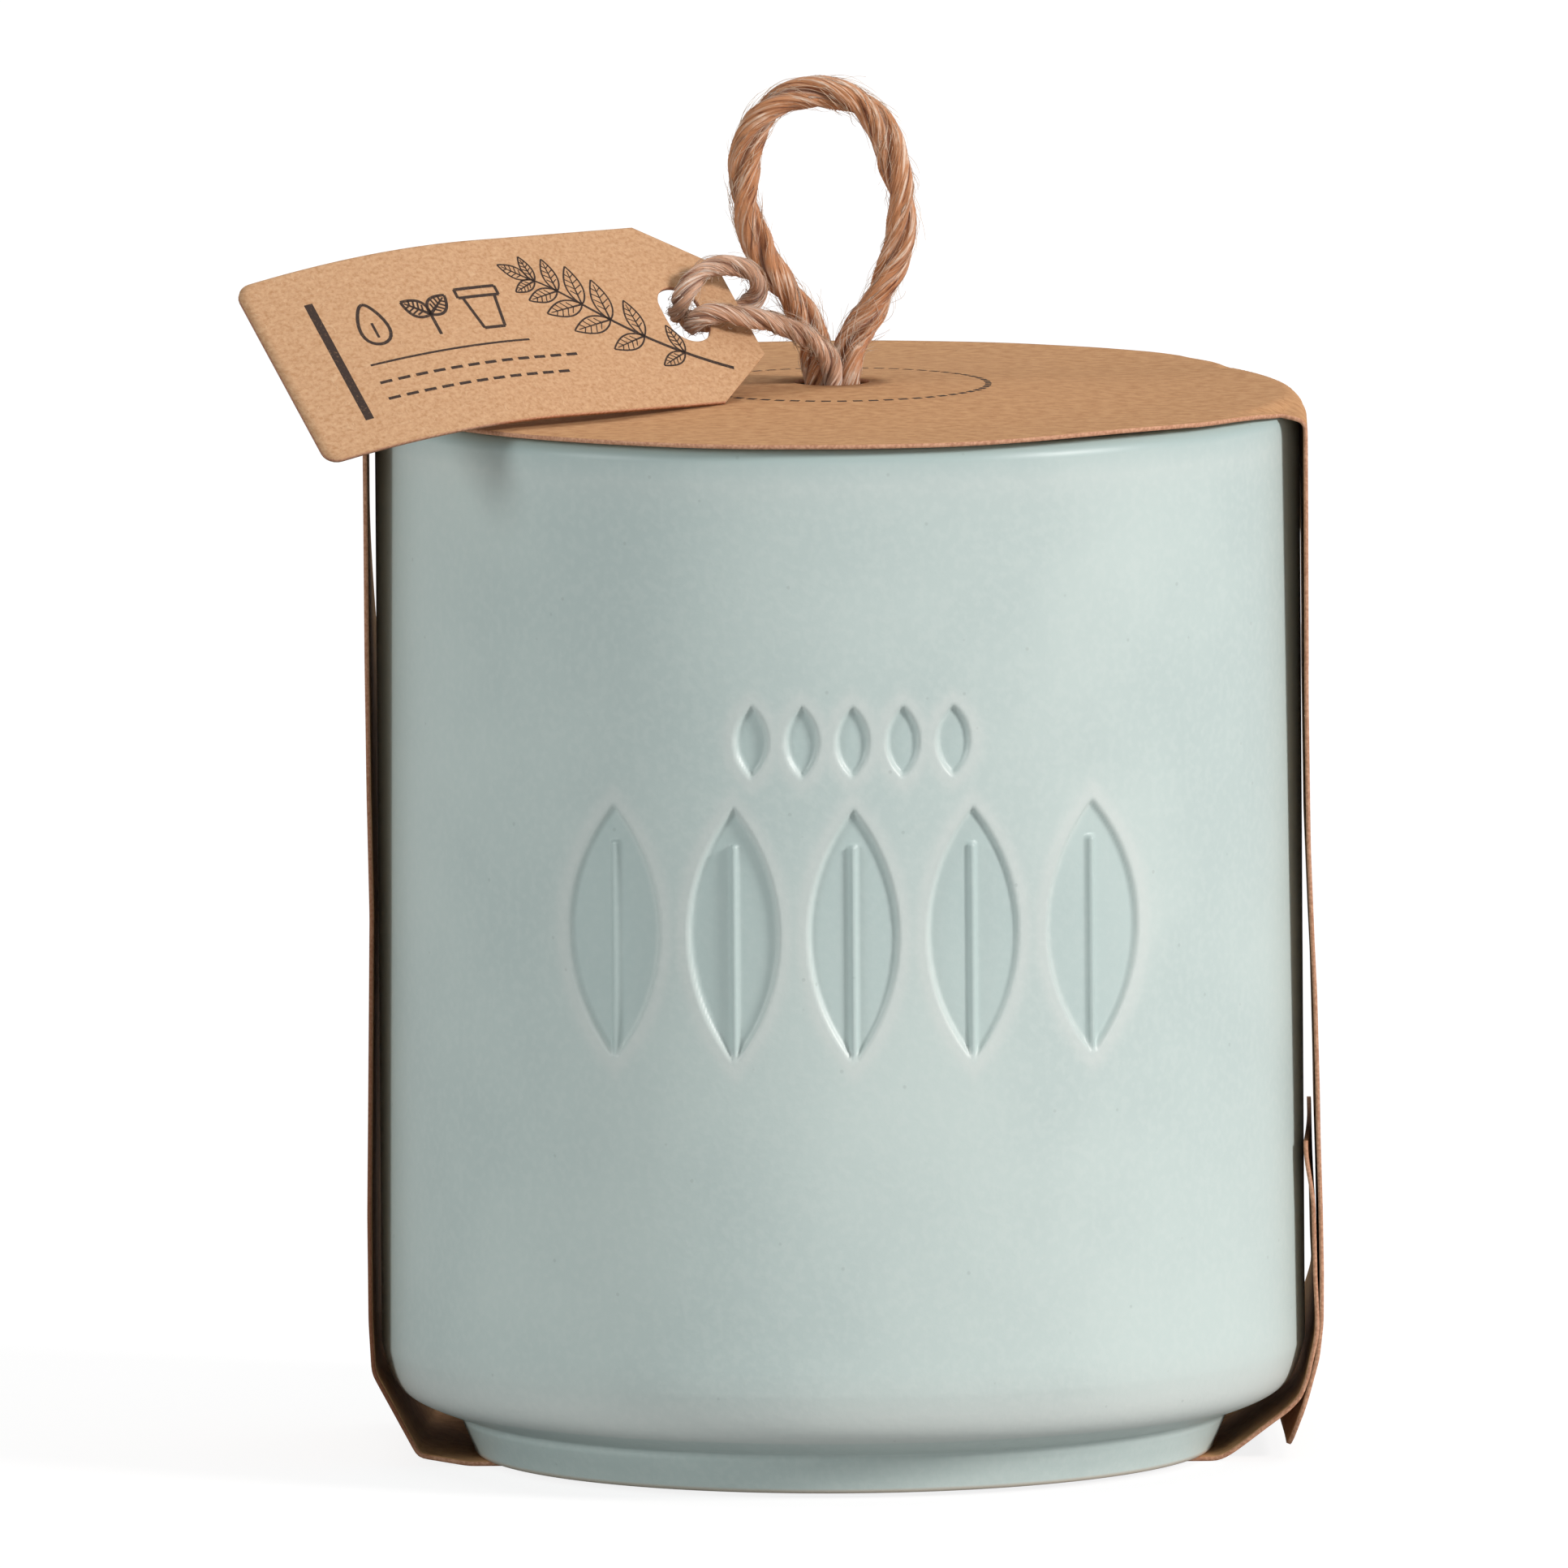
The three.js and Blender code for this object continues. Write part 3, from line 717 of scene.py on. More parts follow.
# %% How thick the glaze lies, and where highlights and shade are painted
def glaze_masks(x, y, z):
    """Where the glaze is thin, where it has pooled and where the clay is bare, with painted highlights at
    the rim and the shoulder and painted shade under the card's edge.
    """
    across = np.hypot(x, y)
    in_front = (y < 0) & (across > POT_RADIUS - 1.5) & (z > WALL_FROM)
    edge = np.where(in_front, inside_design(x, z, ribs=False), -99.0)
    halo = np.exp(-((edge + 0.9) / 1.1) ** 2) * 0.27
    # A paler band just below the rim and another round the shoulder: painted highlights.
    rim_painted_highlight = eased((z - 128) / 5) * eased((136 - z) / 3) * 0.1
    shoulder_painted_highlight = np.exp(-((z - 10.0) / 4.5) ** 2) * 0.4
    outer = across > POT_RADIUS - 4
    in_design = np.where(edge > 0, 0.35 * eased(edge / 0.5), 0.0)
    # Darker at the top of the wall, under the card's edge: painted shade.
    painted_shade_under_card = np.where(outer, eased((z - RIM_Z + 3.2) / 2.2), 0.0)
    return {
        "thin_glaze": np.clip(halo + np.where(outer, rim_painted_highlight + shoulder_painted_highlight, 0.0), 0, 1),
        "pooled_glaze": np.maximum(in_design, painted_shade_under_card),
        "bare_clay": eased((FOOT_Z + 0.75 - z) / 0.4)}


pot_points = np.zeros(len(pot.data.vertices) * 3)
pot.data.vertices.foreach_get("co", pot_points)
for name, values in glaze_masks(*(pot_points.reshape(-1, 3) / MM).T).items():
    set_values(pot, name, values)
    print(name, "reaches", round(float(values.max()), 2))
pot.data.materials.append(pot_glaze)

# %% [markdown]
# ## The card sleeve
# The sleeve is one sheet, so it is built as one sheet: a single layer of points for the
# round top panel and the two straps, which a Solidify modifier then thickens. The straps
# follow the folded line of the real card, softened at its creases, and the places where
# real card curls, twists and droops are small moves of those same points.

# %% Sleeve lines
CARD = 0.55
STRAP_HALF = 24.0
STRAP_SET_BACK = 5.5  # the band's middle is this far behind the pot's axis
STRAP_LEAN = 6.0  # and it sits this much further back at the floor than at the top
PANEL_RADIUS = 60.5
PANEL_RISE = 1.6
RISE_RADIUS = 50.0
HOLE_RADIUS = 4.9
HOLE_X = -0.65
PANEL_Z = RIM_Z + CARD / 2  # the middle of the card's thickness
FOLD = 2.9 - CARD / 2  # fold radius at the middle of the thickness
FOLD_X = {"left": -61.0, "right": 60.4}
FOLD_AT = {side: x - math.copysign(FOLD, x) for side, x in FOLD_X.items()}

LEFT_LINE = [
    (-60.97, 105), (-60.85, 88), (-60.6, 72), (-60.9, 52), (-61.2, 33), (-61.15, 19),
    (-60.8, 12.3), (-55.0, 1.4), (-48.6, CARD / 2), (48.3, CARD / 2), (49.7, 0.92), (51.5, 2.2),
    (54.9, 4.78), (57.4, 6.6), (59.05, 8.3), (60.0, 10.8), (60.5, 13.2), (60.95, 15),
    (61.25, 16.8), (61.3, 18), (61.2, 20.7), (61.05, 24), (60.95, 30), (60.85, 34), (60.75, 41.8),
]
RIGHT_LINE = [
    (60.35, 99), (60.45, 87), (60.52, 80), (60.95, 67.6), (61.23, 61.3), (61.5, 48.6),
    (61.57, 42.3), (61.8, 33), (61.9, 24.7), (61.83, 18), (61.3, 13.4), (60.6, 10.9),
    (59.9, 8.3), (58.85, 5.1), (57.5, 1.6),
]
CARD_STEP = 0.6
STRAP_COLUMNS = 33
strap_y = np.linspace(-STRAP_HALF, STRAP_HALF, STRAP_COLUMNS)


def soft_line(points, step, passes):
    """A polyline in even steps, with its corners eased by averaging."""
    line = evened(np.array(points, float), lambda length: int(length / step))
    for _ in range(passes):
        line[1:-1] = (line[:-2] + 2 * line[1:-1] + line[2:]) / 4
    return line


def folded(side, rest):
    """A strap's whole line, from the edge of the top panel over its fold and on."""
    fold_x = FOLD_AT[side]
    fold = arc_points((fold_x, PANEL_Z - FOLD), FOLD, 90, 180 if fold_x < 0 else 0, 12)
    return np.vstack([fold[:-1], soft_line([fold[-1], *rest], CARD_STEP, 2)])


left_strap = folded("left", LEFT_LINE)
right_strap = folded("right", RIGHT_LINE)
print("strap lines:", len(left_strap), "and", len(right_strap), "rows")

# %% Sleeve shape
# The right-hand fold runs askew: at its front it is sharp and low, at its back the card
# turns down early and softly. Each shape is the middle of the card, from x = 45 on.
FOLD_FROM = 45.0
FOLD_TO = 104.0  # the height where the strap is back on its line
FRONT_FOLD = [
    (45.0, PANEL_Z), (51.0, PANEL_Z), (54.5, 137.3), (57.3, 136.65), (59.0, 136.25),
    (59.9, 135.95), (60.32, 135.5), (60.42, 134.7), (60.42, 124.0), (60.38, 104.0),
]
BACK_FOLD = [
    (45.0, PANEL_Z), (49.0, 137.5), (52.5, 136.75), (55.4, 135.9), (57.0, 135.35), (57.7, 134.9),
    (58.1, 134.1), (58.6, 132.5), (59.3, 129.0), (60.0, 124.0), (60.35, 116.0), (60.38, 104.0),
]
# Each shape, and how much of it the card takes on at each place across the strap.
FOLD_SHAPES = (
    (soft_line(FRONT_FOLD, 0.3, 3), lambda y: eased((-2 - y) / 16) * (1 - eased((-22 - y) / 26))),
    (soft_line(BACK_FOLD, 0.3, 3), lambda y: np.clip((y + 4) / 30, 0, 1) * (1 - eased((y - 30) / 24))))
TAB_ROUND = 5.0  # corner radius of the free tab
TAB_LENGTH = 22.0


def panel_rise(x, y):
    """How far the knot's pull has bowed the top panel up."""
    fall = 1 - np.minimum(np.hypot(x, y) / RISE_RADIUS, 1) ** 2
    return PANEL_RISE * fall * fall


def shape_right_fold(points):
    """Moves the points of the right-hand fold towards its front and back shapes."""
    straight = FOLD_AT["right"] - FOLD_FROM
    quarter = FOLD * math.pi / 2
    whole = straight + quarter + PANEL_Z - FOLD - FOLD_TO
    chosen = (points[:, 0] >= FOLD_FROM) & (points[:, 2] >= FOLD_TO)
    x, y, z = points[chosen].T
    on_panel_part = (x <= FOLD_AT["right"] + 1e-6) & (z > PANEL_Z - 1)
    in_fold = straight + FOLD * np.arctan2(x - FOLD_AT["right"], z - PANEL_Z + FOLD)
    below = straight + quarter + (PANEL_Z - FOLD - z)
    reached = np.where(on_panel_part, x - FOLD_FROM, np.where(z > PANEL_Z - FOLD + 1e-6, in_fold, below))
    for line, weight in FOLD_SHAPES:
        along = distances(line)
        share = reached / whole * along[-1]
        points[chosen, 0] += weight(y) * (np.interp(share, along, line[:, 0]) - x)
        points[chosen, 2] += weight(y) * (np.interp(share, along, line[:, 1]) - z)


def keep_off_the_pot(points):
    """Lifts card off the pot's rim, or moves it off the wall, where a move took it too near."""
    rim_r, rim_z = POT_RADIUS - RIM_ROUND, RIM_Z - RIM_ROUND
    nearest = RIM_ROUND + CARD / 2 + 0.05
    for p in points:
        out, up = math.hypot(p[0], p[1]) - rim_r, p[2] - rim_z
        if up > 0 and (out <= 0 or up > 0.8 * out):
            if out < nearest:
                p[2] = max(p[2], rim_z + math.sqrt(nearest**2 - max(out, 0.0) ** 2))
        elif p[2] > WALL_FROM:
            reach = rim_r + math.sqrt(nearest**2 - max(up, 0.0) ** 2) if up < nearest else 0.0
            if out + rim_r < reach:
                p[0] = math.copysign(math.sqrt(reach**2 - p[1] ** 2), p[0])

# %% Straps
strap_share = (strap_y + STRAP_HALF) / (2 * STRAP_HALF)  # 0 at a strap's front edge, 1 at its back


def shape_left_strap(rows):
    """Twists the left strap's back edge in, and lifts the bottom panel's free corners."""
    x, y, z = np.moveaxis(rows.copy(), -1, 0)
    twist = np.interp(z, (0, 14, 60), (2.4, 2.1, 1.6)) * (1 - eased((z - 86) / 36))
    rows[..., 0] += np.where(x < -40, twist * strap_share**2 * eased((-x - 46) / 8), 0.0)
    curl = eased((z - 33) / 8) * (1 - strap_share) ** 2
    rows[..., 0] -= np.where(x > 0, 0.85 * curl, 0.0)
    tucked = eased((z - 9) / 5) * eased((21 - z) / 5) * strap_share**2
    rows[..., 0] -= np.where(x > 50, 1.1 * tucked, 0.0)
    foot = np.sqrt(np.maximum(FOOT_RADIUS**2 - y**2, 0))
    lifted = CARD / 2 + 1.3 * eased((np.abs(x) - foot) / 7.0) * eased((np.abs(y) - 12) / 16)
    near_floor = (z < 2.3) & (np.abs(x) < 56)
    rows[..., 2] = np.where(near_floor, np.maximum(z, lifted), z)


def strap_rows(line):
    """A strap's grid of points: the folded line, repeated across its width."""
    return np.stack(np.broadcast_arrays(line[:, :1], strap_y, line[:, 1:]), axis=-1)


def lean_back(rows):
    """Moves a strap back, by a little more the lower down it is."""
    rows[..., 1] += STRAP_SET_BACK + STRAP_LEAN * (1 - np.clip(rows[..., 2], 0, RIM_Z) / RIM_Z)


def round_the_tab(rows, line):
    """Rounds the corners of the free tab by drawing its last rows in."""
    along = distances(line)
    reach = along[-1]
    begin = reach - TAB_LENGTH
    for j, y in enumerate(strap_y):
        over = max(abs(y) - (STRAP_HALF - TAB_ROUND), 0.0)
        short = TAB_ROUND - math.sqrt(TAB_ROUND**2 - over**2)
        for i, s in enumerate(along):
            if s > begin:
                new = begin + (s - begin) * (reach - short - begin) / (reach - begin)
                rows[i, j, 0], rows[i, j, 2] = (np.interp(new, along, line[:, k]) for k in range(2))


left_rows = strap_rows(left_strap)
lean_back(left_rows)
shape_left_strap(left_rows)
right_rows = strap_rows(right_strap)
round_the_tab(right_rows, right_strap)
lean_back(right_rows)
# The back of the free tab twists in towards the pot.
right_rows[..., 0] -= 0.9 * eased(strap_share) * eased((11 - right_rows[..., 2]) / 8)
print("straps:", left_rows.shape[:2], "and", right_rows.shape[:2], "points")

# %% Top panel and the whole sheet
PANEL_RINGS = 34
EDGE_RINGS = 14  # of those, how many lie close together at the edge


def panel_outline():
    """The top panel's edge: round, but straight where the straps leave it."""
    band_y = strap_y + STRAP_SET_BACK
    front = math.asin(band_y[0] / PANEL_RADIUS)
    back = math.asin(band_y[-1] / PANEL_RADIUS)
    edge = []
    for fold_x, ys, turns in (
            (FOLD_AT["right"], band_y, np.linspace(back, math.pi - back, 74)),
            (FOLD_AT["left"], band_y[::-1], np.linspace(math.pi - front, 2 * math.pi + front, 90))):
        edge += [(fold_x, y) for y in ys]
        edge += [(PANEL_RADIUS * math.cos(t), PANEL_RADIUS * math.sin(t)) for t in turns]
    return np.array(edge)


def panel_points():
    """Rings of points from the punched hole out to the edge."""
    edge = panel_outline()
    turn = np.arctan2(edge[:, 1], edge[:, 0] - HOLE_X)
    hole = np.column_stack([HOLE_X + HOLE_RADIUS * np.cos(turn), HOLE_RADIUS * np.sin(turn)])
    rings = []
    inner = np.linspace(0, 0.86, PANEL_RINGS - EDGE_RINGS) ** 0.9
    for share in np.r_[inner, np.linspace(0.885, 1, EDGE_RINGS)]:
        ring = hole + (edge - hole) * share
        x, y = ring.T
        ruffle = [0.05 * noise.noise(Vector((*place * 0.09, 4.0))) for place in ring]
        degrees = np.degrees(np.arctan2(y, x))
        lift = 0.45 * np.exp(-(((degrees + 54) / 14) ** 2))
        lift += 0.25 * eased((degrees - 36) / 12) * eased((145 - degrees) / 20)
        beyond_rim = eased((np.hypot(x, y) - 57.2) / 3.3)
        z = PANEL_Z + panel_rise(x, y) + (np.array(ruffle) + lift) * beyond_rim
        rings.append(np.column_stack([ring, z]))
    return np.array(rings)


def lay_out_grain(piece, flat):
    """Keeps, for each point, its place on the flat card, along and across the grain."""
    layer = piece.data.uv_layers.new(name="card_grain")
    for loop in piece.data.loops:
        layer.data[loop.index].uv = np.array(flat[loop.vertex_index]) * MM


def thicken(piece, thickness, face, even=False):
    """Gives a single layer of points the thickness of card, with a cut edge."""
    solid = piece.modifiers.new("card thickness", "SOLIDIFY")
    solid.thickness = thickness * MM
    solid.offset = 0.0
    solid.use_even_offset = even
    solid.material_offset_rim = 1
    piece.data.materials.append(face)
    piece.data.materials.append(card_cut_edge)


def sleeve_piece():
    """The sleeve as one thickened sheet, with its grain laid out along the card."""
    rings = panel_points()
    points = list(rings.reshape(-1, 3))
    faces = grid_faces(PANEL_RINGS, rings.shape[1], wrap=True)
    grain = [(p[0], p[1]) for p in points]
    for rows, sign in ((right_rows, 1), (left_rows, -1)):
        start = len(points)
        points += list(rows.reshape(-1, 3))
        grain += [(sign * (58.0 + s), y) for s in distances(rows[:, STRAP_COLUMNS // 2]) for y in strap_y]
        for face in grid_faces(len(rows), len(strap_y), wrap=False):
            corners = tuple(start + v for v in face)
            faces.append(corners[::sign])
    points = np.array(points)
    shape_right_fold(points)
    keep_off_the_pot(points)
    piece = new_piece("sleeve_folded_card", points, faces)
    lay_out_grain(piece, grain)
    closed_up(piece, 0.02)
    thicken(piece, CARD, sleeve_card, even=True)
    return piece


sleeve = sleeve_piece()
print("sleeve:", len(sleeve.data.polygons), "faces before it is thickened")

# %% [markdown]
# ## The tag
# The tag is a small card with two corners cut off and a hole for the string. Like the
# sleeve it is a single layer of points, thickened. Its free end bends back a little, and
# the whole tag leans on the rim of the sleeve, held by its string.

# %% Tag shape
TAG_LENGTH = 71.0
TAG_WIDTH = 28.9
TAG_CARD = 0.6
TAG_CORNER = 2.0
TAG_CLIP = (10.0, 7.0)  # along and across
TAG_HOLE = (9.2, 14.4)
TAG_HOLE_RADIUS = 3.2
TAG_HOLE_STRETCH = 1.3
TAG_RINGS = 44
TAG_CURL_START = 36.0
TAG_CURL = 0.0053
TAG_CORNER_AT = np.array((-6.5, -14.2, 138.96))
tag_turn = np.array(Euler([math.radians(a) for a in (46.3, 0.5, 37.8)]).to_matrix())  # X, then Y, then Z


def on_tag(along, across, above=0.0):
    """A place on the bent tag: along from its string end, across it and above its middle."""
    bend = -TAG_CURL * np.maximum(along - TAG_CURL_START, 0) ** 2
    flat = np.stack([-along, across, bend + above], axis=-1)
    return TAG_CORNER_AT + flat @ tag_turn.T


def tag_outline():
    """The tag's edge, in even steps."""
    far = TAG_LENGTH - TAG_CORNER
    corners = [(0, TAG_CLIP[1]), (0, TAG_WIDTH - TAG_CLIP[1]), (TAG_CLIP[0], TAG_WIDTH)]
    corners += arc_points((far, TAG_WIDTH - TAG_CORNER), TAG_CORNER, 90, 0, 6)
    corners += arc_points((far, TAG_CORNER), TAG_CORNER, 0, -90, 6)
    corners += [(TAG_CLIP[0], 0), (0, TAG_CLIP[1])]
    edge = []
    for a, b in zip(corners, corners[1:]):
        count = max(int(math.dist(a, b) / 0.9), 1)
        edge += [(a[0] + (b[0] - a[0]) * k / count, a[1] + (b[1] - a[1]) * k / count)
                 for k in range(count)]
    return np.array(edge)


def tag_piece():
    """The bent tag, thickened, with its grain laid out flat."""
    edge = tag_outline()
    centre = np.array(TAG_HOLE)
    turn = np.arctan2(edge[:, 1] - centre[1], edge[:, 0] - centre[0])
    hole = centre + TAG_HOLE_RADIUS * np.column_stack([np.cos(turn), np.sin(turn)])
    hole[:, 1] += TAG_HOLE_STRETCH * np.sign(np.sin(turn)) * np.minimum(np.abs(np.sin(turn)) * 4, 1)
    flat = np.vstack([hole + (edge - hole) * share for share in np.linspace(0, 1, TAG_RINGS)])
    points = on_tag(flat[:, 0], flat[:, 1])
    piece = new_piece("tag_bent_card", points, grid_faces(TAG_RINGS, len(edge), wrap=True))
    lay_out_grain(piece, flat)
    thicken(piece, TAG_CARD, tag_card)
    return piece


tag = tag_piece()
print("tag:", len(tag.data.polygons), "faces before it is thickened")

# %% [markdown]
# ## The print on the tag
# Dark ink lies on the card in a film far thinner than a hair. Each stroke is a thin strip
# that follows the bent card, so its edges stay sharp in any close-up. The design is a
# plain one: an upright bar, three small pictures of a seed, a sprout and a pot, a few
# rules, and a sprig with narrow leaves. A ring of dashes goes round the hole in the sleeve's
# top panel in the same ink.

# %% Ink strokes
INK = 0.03  # how far the ink stands above the card
INK_ROOT = 0.05  # how far it goes in
STEM_STEPS = 25
DASH_RING = 19.6  # radius round the hole in the top panel
tag_ink = ([], [])
panel_ink = ([], [])


def on_panel(x, y, above):
    """A place on the top panel: above is measured from the middle of its card."""
    return np.column_stack([x, y, PANEL_Z + panel_rise(x, y) + above])


def stroke(route, widths, place=on_tag, card=TAG_CARD, ink=tag_ink):
    """A strip of ink along a route on the tag, or on another piece, with a width at each point."""
    ink_points, ink_faces = ink
    route = np.array(route, float)
    tangent = np.gradient(route, axis=0)
    tangent /= np.linalg.norm(tangent, axis=1)[:, None]
    square = np.column_stack([-tangent[:, 1], tangent[:, 0]]) * np.reshape(widths, (-1, 1)) / 2
    corners = []
    for way, above in ((1, -INK_ROOT), (-1, -INK_ROOT), (-1, INK), (1, INK)):
        edge = route + way * square
        corners.append(place(edge[:, 0], edge[:, 1], card / 2 + above))
    ink_faces += tube_faces(len(ink_points), len(route), 4)
    ink_points += list(np.stack(corners, axis=1).reshape(-1, 3))


def straight(a, b, width, step=1.2):
    """A straight rule of ink."""
    count = max(int(math.dist(a, b) / step), 1)
    stroke(np.linspace(a, b, count + 1), width)


def ink_leaf(root, angle, length, half_width, line):
    """An outlined leaf with a midrib and short veins."""
    t = np.linspace(0, 1, 18)
    along = t * length
    out = half_width * np.sin(math.pi * t**0.85) ** 0.9
    c, s = math.cos(angle), math.sin(angle)

    def placed_at(u, v):
        return np.column_stack([root[0] + u * c - v * s, root[1] + u * s + v * c])

    stroke(placed_at(along, out), line)
    stroke(placed_at(along, -out), line)
    stroke(placed_at(along[:16], 0 * along[:16]), line * np.linspace(1.2, 0.5, 16))
    for share in (0.25, 0.4, 0.55, 0.7):
        for side in (1, -1):
            reach = side * half_width * math.sin(math.pi * share**0.85) * 0.85
            u = np.array([share * length, (share + 0.07) * length, (share + 0.11) * length])
            stroke(placed_at(u, np.array([0, reach * 0.6, reach])), line * 0.6)

# %% What is printed
def print_bar_and_rules():
    """The upright bar and the plain rules."""
    straight((63.3, 4.6), (63.3, 23.6), 1.15)
    straight((59.6, 12.4), (35.5, 12.4), 0.3)
    for b, begin, end in ((9.5, 59.6, 28.5), (6.9, 59.6, 32.0)):
        for start in np.arange(begin, end, -2.6):
            straight((start, b), (start - 1.7, b), 0.42)


def print_pictures():
    """Three small outlined pictures: a seed, a sprout and a pot."""
    t = np.linspace(0, 2 * math.pi, 30)
    drop = 1 - 0.35 * np.cos(t)
    stroke(np.column_stack([56.6 + 1.9 * np.sin(t) * drop, 18.4 + 3.2 * np.cos(t)]), 0.45)
    straight((56.6, 16.2), (56.6, 18.6), 0.35)
    straight((48.0, 14.9), (48.0, 19.0), 0.45)
    ink_leaf((48.0, 18.2), math.radians(38), 4.2, 1.3, 0.42)
    ink_leaf((48.0, 18.2), math.radians(142), 4.2, 1.3, 0.42)
    rim = [(42.9, 21.4), (36.5, 21.4), (36.5, 20.0), (42.9, 20.0), (42.9, 21.4)]
    body = [(42.2, 20.0), (41.3, 14.9), (38.1, 14.9), (37.2, 20.0)]
    for corners in (rim, body):
        for a, b in zip(corners, corners[1:]):
            straight(a, b, 0.45)


def print_sprig():
    """A stem that sweeps across the tag, with narrow leaves in pairs."""
    stem = np.array(bezier((30.5, 22.0), (24.5, 19.0), (21.0, 11.5), (6.0, 5.2), STEM_STEPS))
    stroke(stem, np.linspace(0.25, 0.5, STEM_STEPS + 1))
    for share, size in ((0.06, 0.62), (0.2, 0.8), (0.36, 0.95), (0.53, 1.0), (0.7, 0.9), (0.86, 0.7)):
        i = int(share * STEM_STEPS)
        way = stem[max(i - 1, 0)] - stem[min(i + 1, STEM_STEPS)]
        heading = math.atan2(way[1], way[0])
        for side in (1, -1):
            ink_leaf(stem[i], heading + side * math.radians(52), 6.6 * size, 1.35 * size, 0.24)
    ink_leaf(stem[0], math.radians(35), 4.6, 1.0, 0.24)


def print_dash_ring():
    """A ring of plain dashes on the top panel, round the hole."""
    for turn in np.arange(0, 2 * math.pi, math.radians(6.0)):
        t = np.linspace(turn, turn + math.radians(3.6), 4)
        route = DASH_RING * np.column_stack([np.cos(t), np.sin(t)])
        stroke(route, 0.8, place=on_panel, card=CARD, ink=panel_ink)


print_bar_and_rules()
print_pictures()
print_sprig()
print_dash_ring()
tag_print = new_piece("tag_print", *tag_ink, smooth=False)
panel_print = new_piece("panel_print", *panel_ink, smooth=False)


def ink_material():
    """Dark brown ink on absorbent card: slightly broken, and dull."""
    material, tree, shader = new_material("card_ink", 0.7, Specular_IOR_Level=0.2)
    broken = ranged(tree, noisy(tree, from_place(tree), 3200.0), 0.55, 0.8)
    coloured(tree, shader, mixed(tree, broken, linear(58, 46, 40), linear(112, 86, 64)))
    return material


card_ink = ink_material()
tag_print.data.materials.append(card_ink)
panel_print.data.materials.append(card_ink)
print("print:", len(tag_ink[1]) + len(panel_ink[1]), "faces")

# %% [markdown]
# ## What is packed inside
# The contents can't be seen while the sleeve is closed, but they are there. Their CAD
# shapes are right, so they stay, and only get finishes: pressed fibre, brown paper and
# white paper. The knot under the top panel keeps its CAD shape too, in jute.

# %% Contents
def fibre_material(name, light, dark, scale, relief, roughness=0.9):
    """A matt finish of fine grain between two colours."""
    material, tree, shader = new_material(name, roughness, Specular_IOR_Level=0.2)
    grain = noisy(tree, from_place(tree), scale, 6.0, 0.7)
    coloured(tree, shader, mixed(tree, ranged(tree, grain, 0.35, 0.65), dark, light), grain, relief)
    return material


contents = {
    "soil_disc": fibre_material(
        "pressed_soil", linear(98, 70, 46), linear(44, 30, 20), 700.0, 0.0008, 1.0),
    "seed_packet": fibre_material(
        "packet_paper", linear(226, 206, 172), linear(205, 182, 146), 500.0, 0.00008),
    "instruction_leaflet": fibre_material(
        "leaflet_paper", linear(246, 243, 236), linear(232, 228, 218), 500.0, 0.00005),
    "twine_knot": fibre_material(
        "knot_jute", linear(214, 178, 142), linear(140, 98, 64), 900.0, 0.0006),
}
for node, material in contents.items():
    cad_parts[node].data.materials.clear()
    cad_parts[node].data.materials.append(material)
print("contents:", sorted(contents))

# %% [markdown]
# ## Floor and light
# Sun lamps with a wide angle act as large soft boxes that light the whole floor alike, however
# far it runs back.

# %% Floor, lamps and sky
FLOOR_SIZE = 12.0
FLOOR_BOUNCE = (0.47, 0.47, 0.47, 1.0)
FLOOR_SEEN = (0.2, 0.2, 0.2, 1.0)  # as the camera sees it, so that shadows stay faint
FLOOR_LIFT = 0.85  # the white that the camera sees besides
floor = new_piece(
    "floor", np.array([(-1, -1, 0), (1, -1, 0), (1, 1, 0), (-1, 1, 0)]) * FLOOR_SIZE / MM,
    [(0, 1, 2, 3)], smooth=False)
floor.location.z = -0.00002


def floor_material():
    """A pale matt floor. What the camera sees of it is lifted to the white of the backdrop."""
    material, tree, shader = new_material("pale_floor", 0.9, Specular_IOR_Level=0.1)
    seen = add_node(tree, "ShaderNodeLightPath").outputs["Is Camera Ray"]
    coloured(tree, shader, mixed(tree, seen, FLOOR_BOUNCE, FLOOR_SEEN))
    glow = add_node(tree, "ShaderNodeEmission", {"Strength": maths(tree, "MULTIPLY", seen, FLOOR_LIFT)})
    both = add_node(tree, "ShaderNodeAddShader", {0: shader.outputs[0], 1: glow.outputs[0]})
    tree.links.new(both.outputs[0], tree.nodes["Material Output"].inputs["Surface"])
    return material


floor.data.materials.append(floor_material())


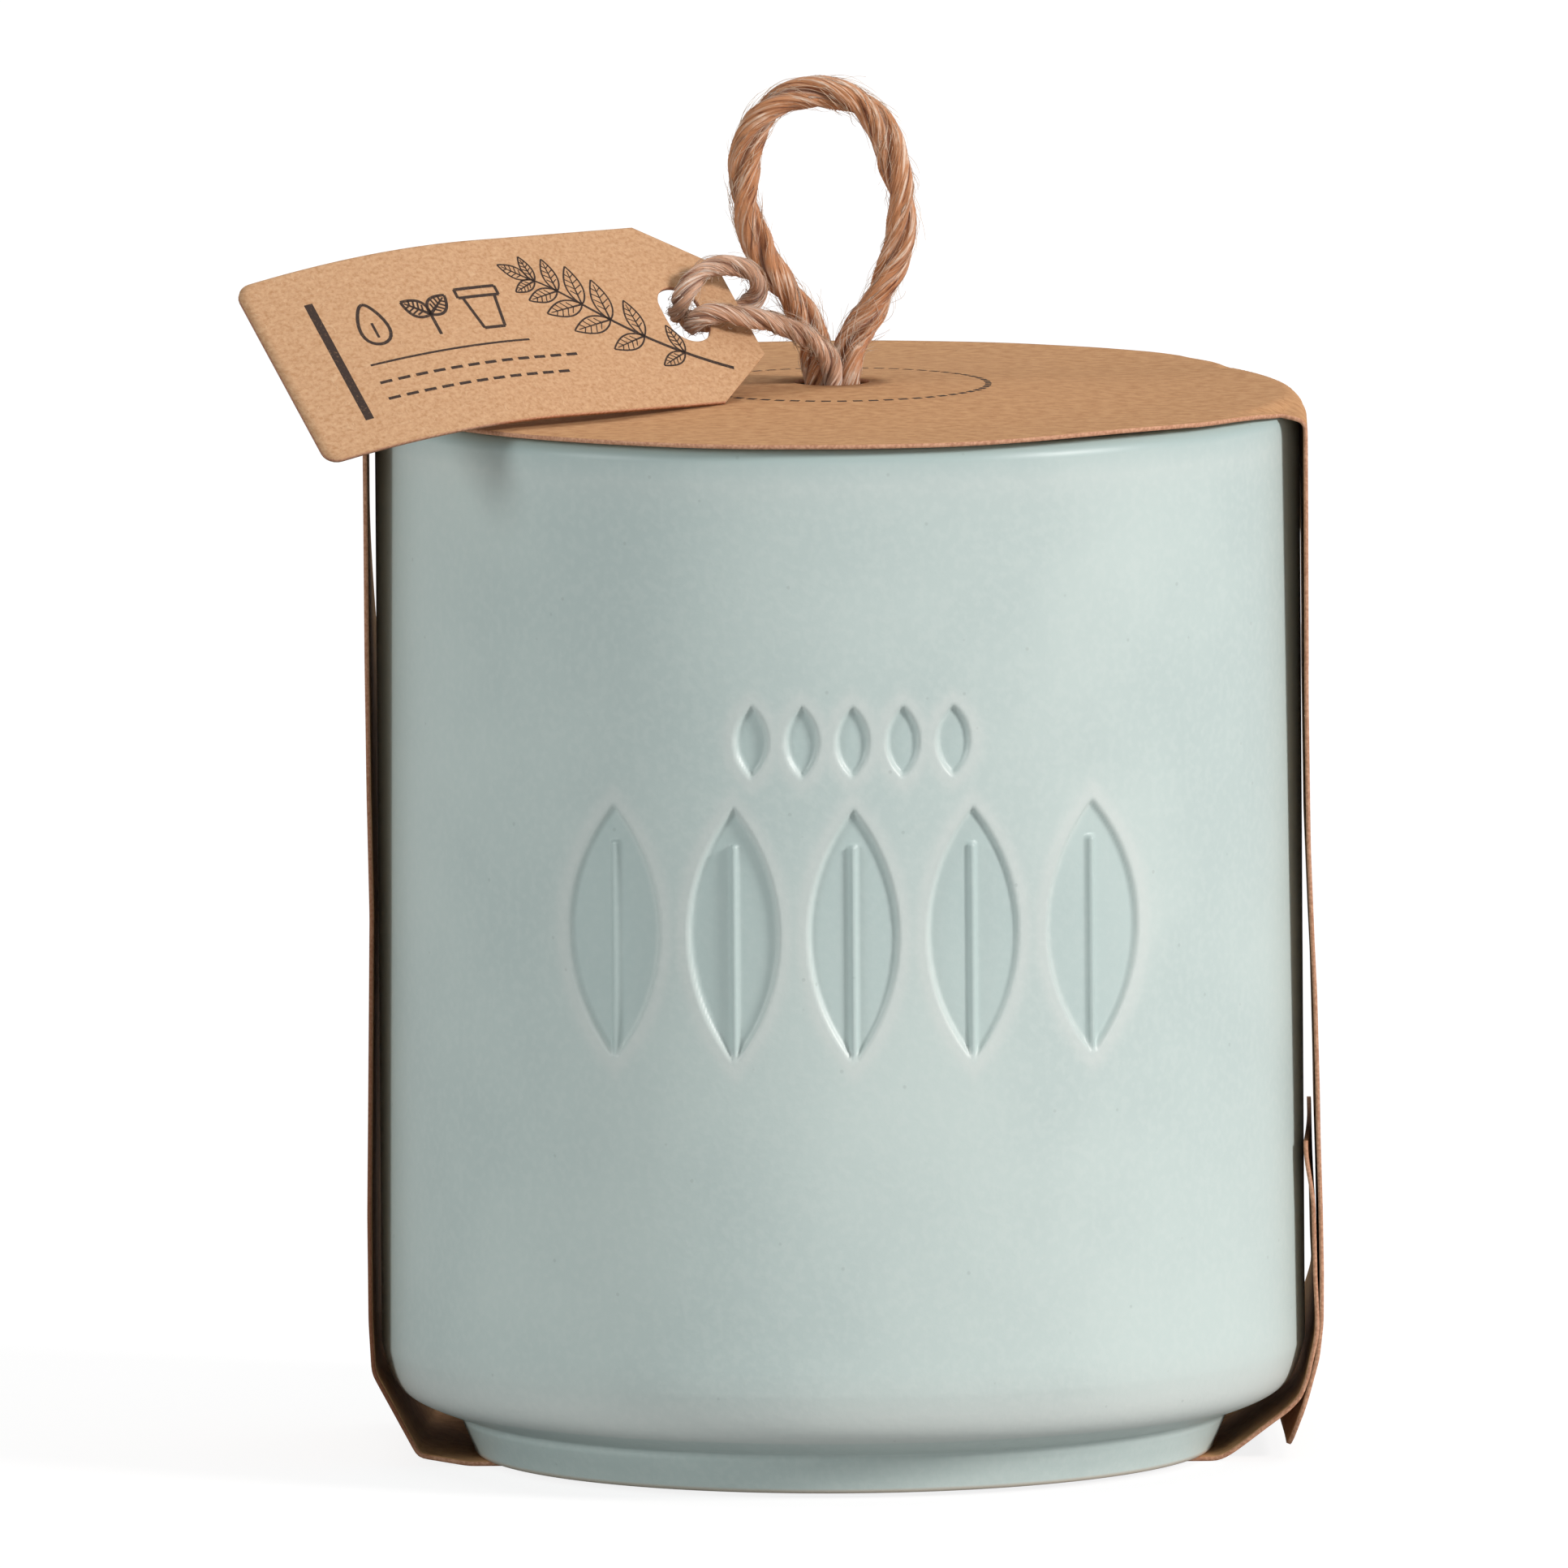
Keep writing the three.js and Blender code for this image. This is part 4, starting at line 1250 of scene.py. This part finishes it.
def soft_sun(name, azimuth, elevation, strength, angle, colour=(1.0, 1.0, 1.0)):
    """A wide sun lamp. Azimuth 0 shines from the front, 90 from the right."""
    lamp = bpy.data.lights.new(name, "SUN")
    lamp.energy = strength
    lamp.angle = math.radians(angle)
    lamp.color = colour
    item = bpy.data.objects.new(name, lamp)
    bpy.context.scene.collection.objects.link(item)
    a, e = math.radians(azimuth), math.radians(elevation)
    source = Vector((math.sin(a) * math.cos(e), -math.cos(a) * math.cos(e), math.sin(e)))
    item.rotation_euler = source.to_track_quat("Z", "Y").to_euler()


soft_sun("key_right", 62, 24, 2.8, 14, (1.0, 0.94, 0.93))
soft_sun("front", 2, 10, 0.3, 20)
soft_sun("fill_left", -62, 18, 0.88, 18)
soft_sun("top_soft", 150, 72, 1.05, 70)
SKY = 0.22  # the studio's soft light from all round
world = bpy.data.worlds.new("studio")
world.use_nodes = True
sky = world.node_tree.nodes["Background"]
sky.inputs["Color"].default_value = (1.0, 1.0, 1.0, 1.0)
# A low view sees past the floor to the backdrop, which is as white as the floor.
seen = add_node(world.node_tree, "ShaderNodeLightPath").outputs["Is Camera Ray"]
backdrop = maths(world.node_tree, "MULTIPLY_ADD", seen, 1.0 - SKY, SKY)
world.node_tree.links.new(backdrop, sky.inputs["Strength"])
bpy.context.scene.world = world

# %% [markdown]
# ## What each piece stands for
# The pieces below take the place of the plain CAD solids.

# %% Join the pieces to the frame
for piece, material in ((twine, twine_jute), (string, string_jute), (twine_hairs, twine_hair),
                        (string_hairs, string_hair), *((fuzz, string_hair) for fuzz in hole_fuzz)):
    piece.data.materials.append(material)

SLOTS = {
    "pot_glaze": [pot],
    "sleeve_card": [sleeve, panel_print],
    "jute_twine": [twine, twine_hairs, *hole_fuzz],
    "tag_string": [string, string_hairs],
    "tag_card": [tag, tag_print],
}
for slot, pieces in SLOTS.items():
    for piece in pieces:
        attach(piece, "root")
for piece, node in ((pot, "pot"), (sleeve, "card_sleeve"), (twine, "twine_loop"),
                    (string, "tag_string"), (tag, "tag")):
    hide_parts(node)
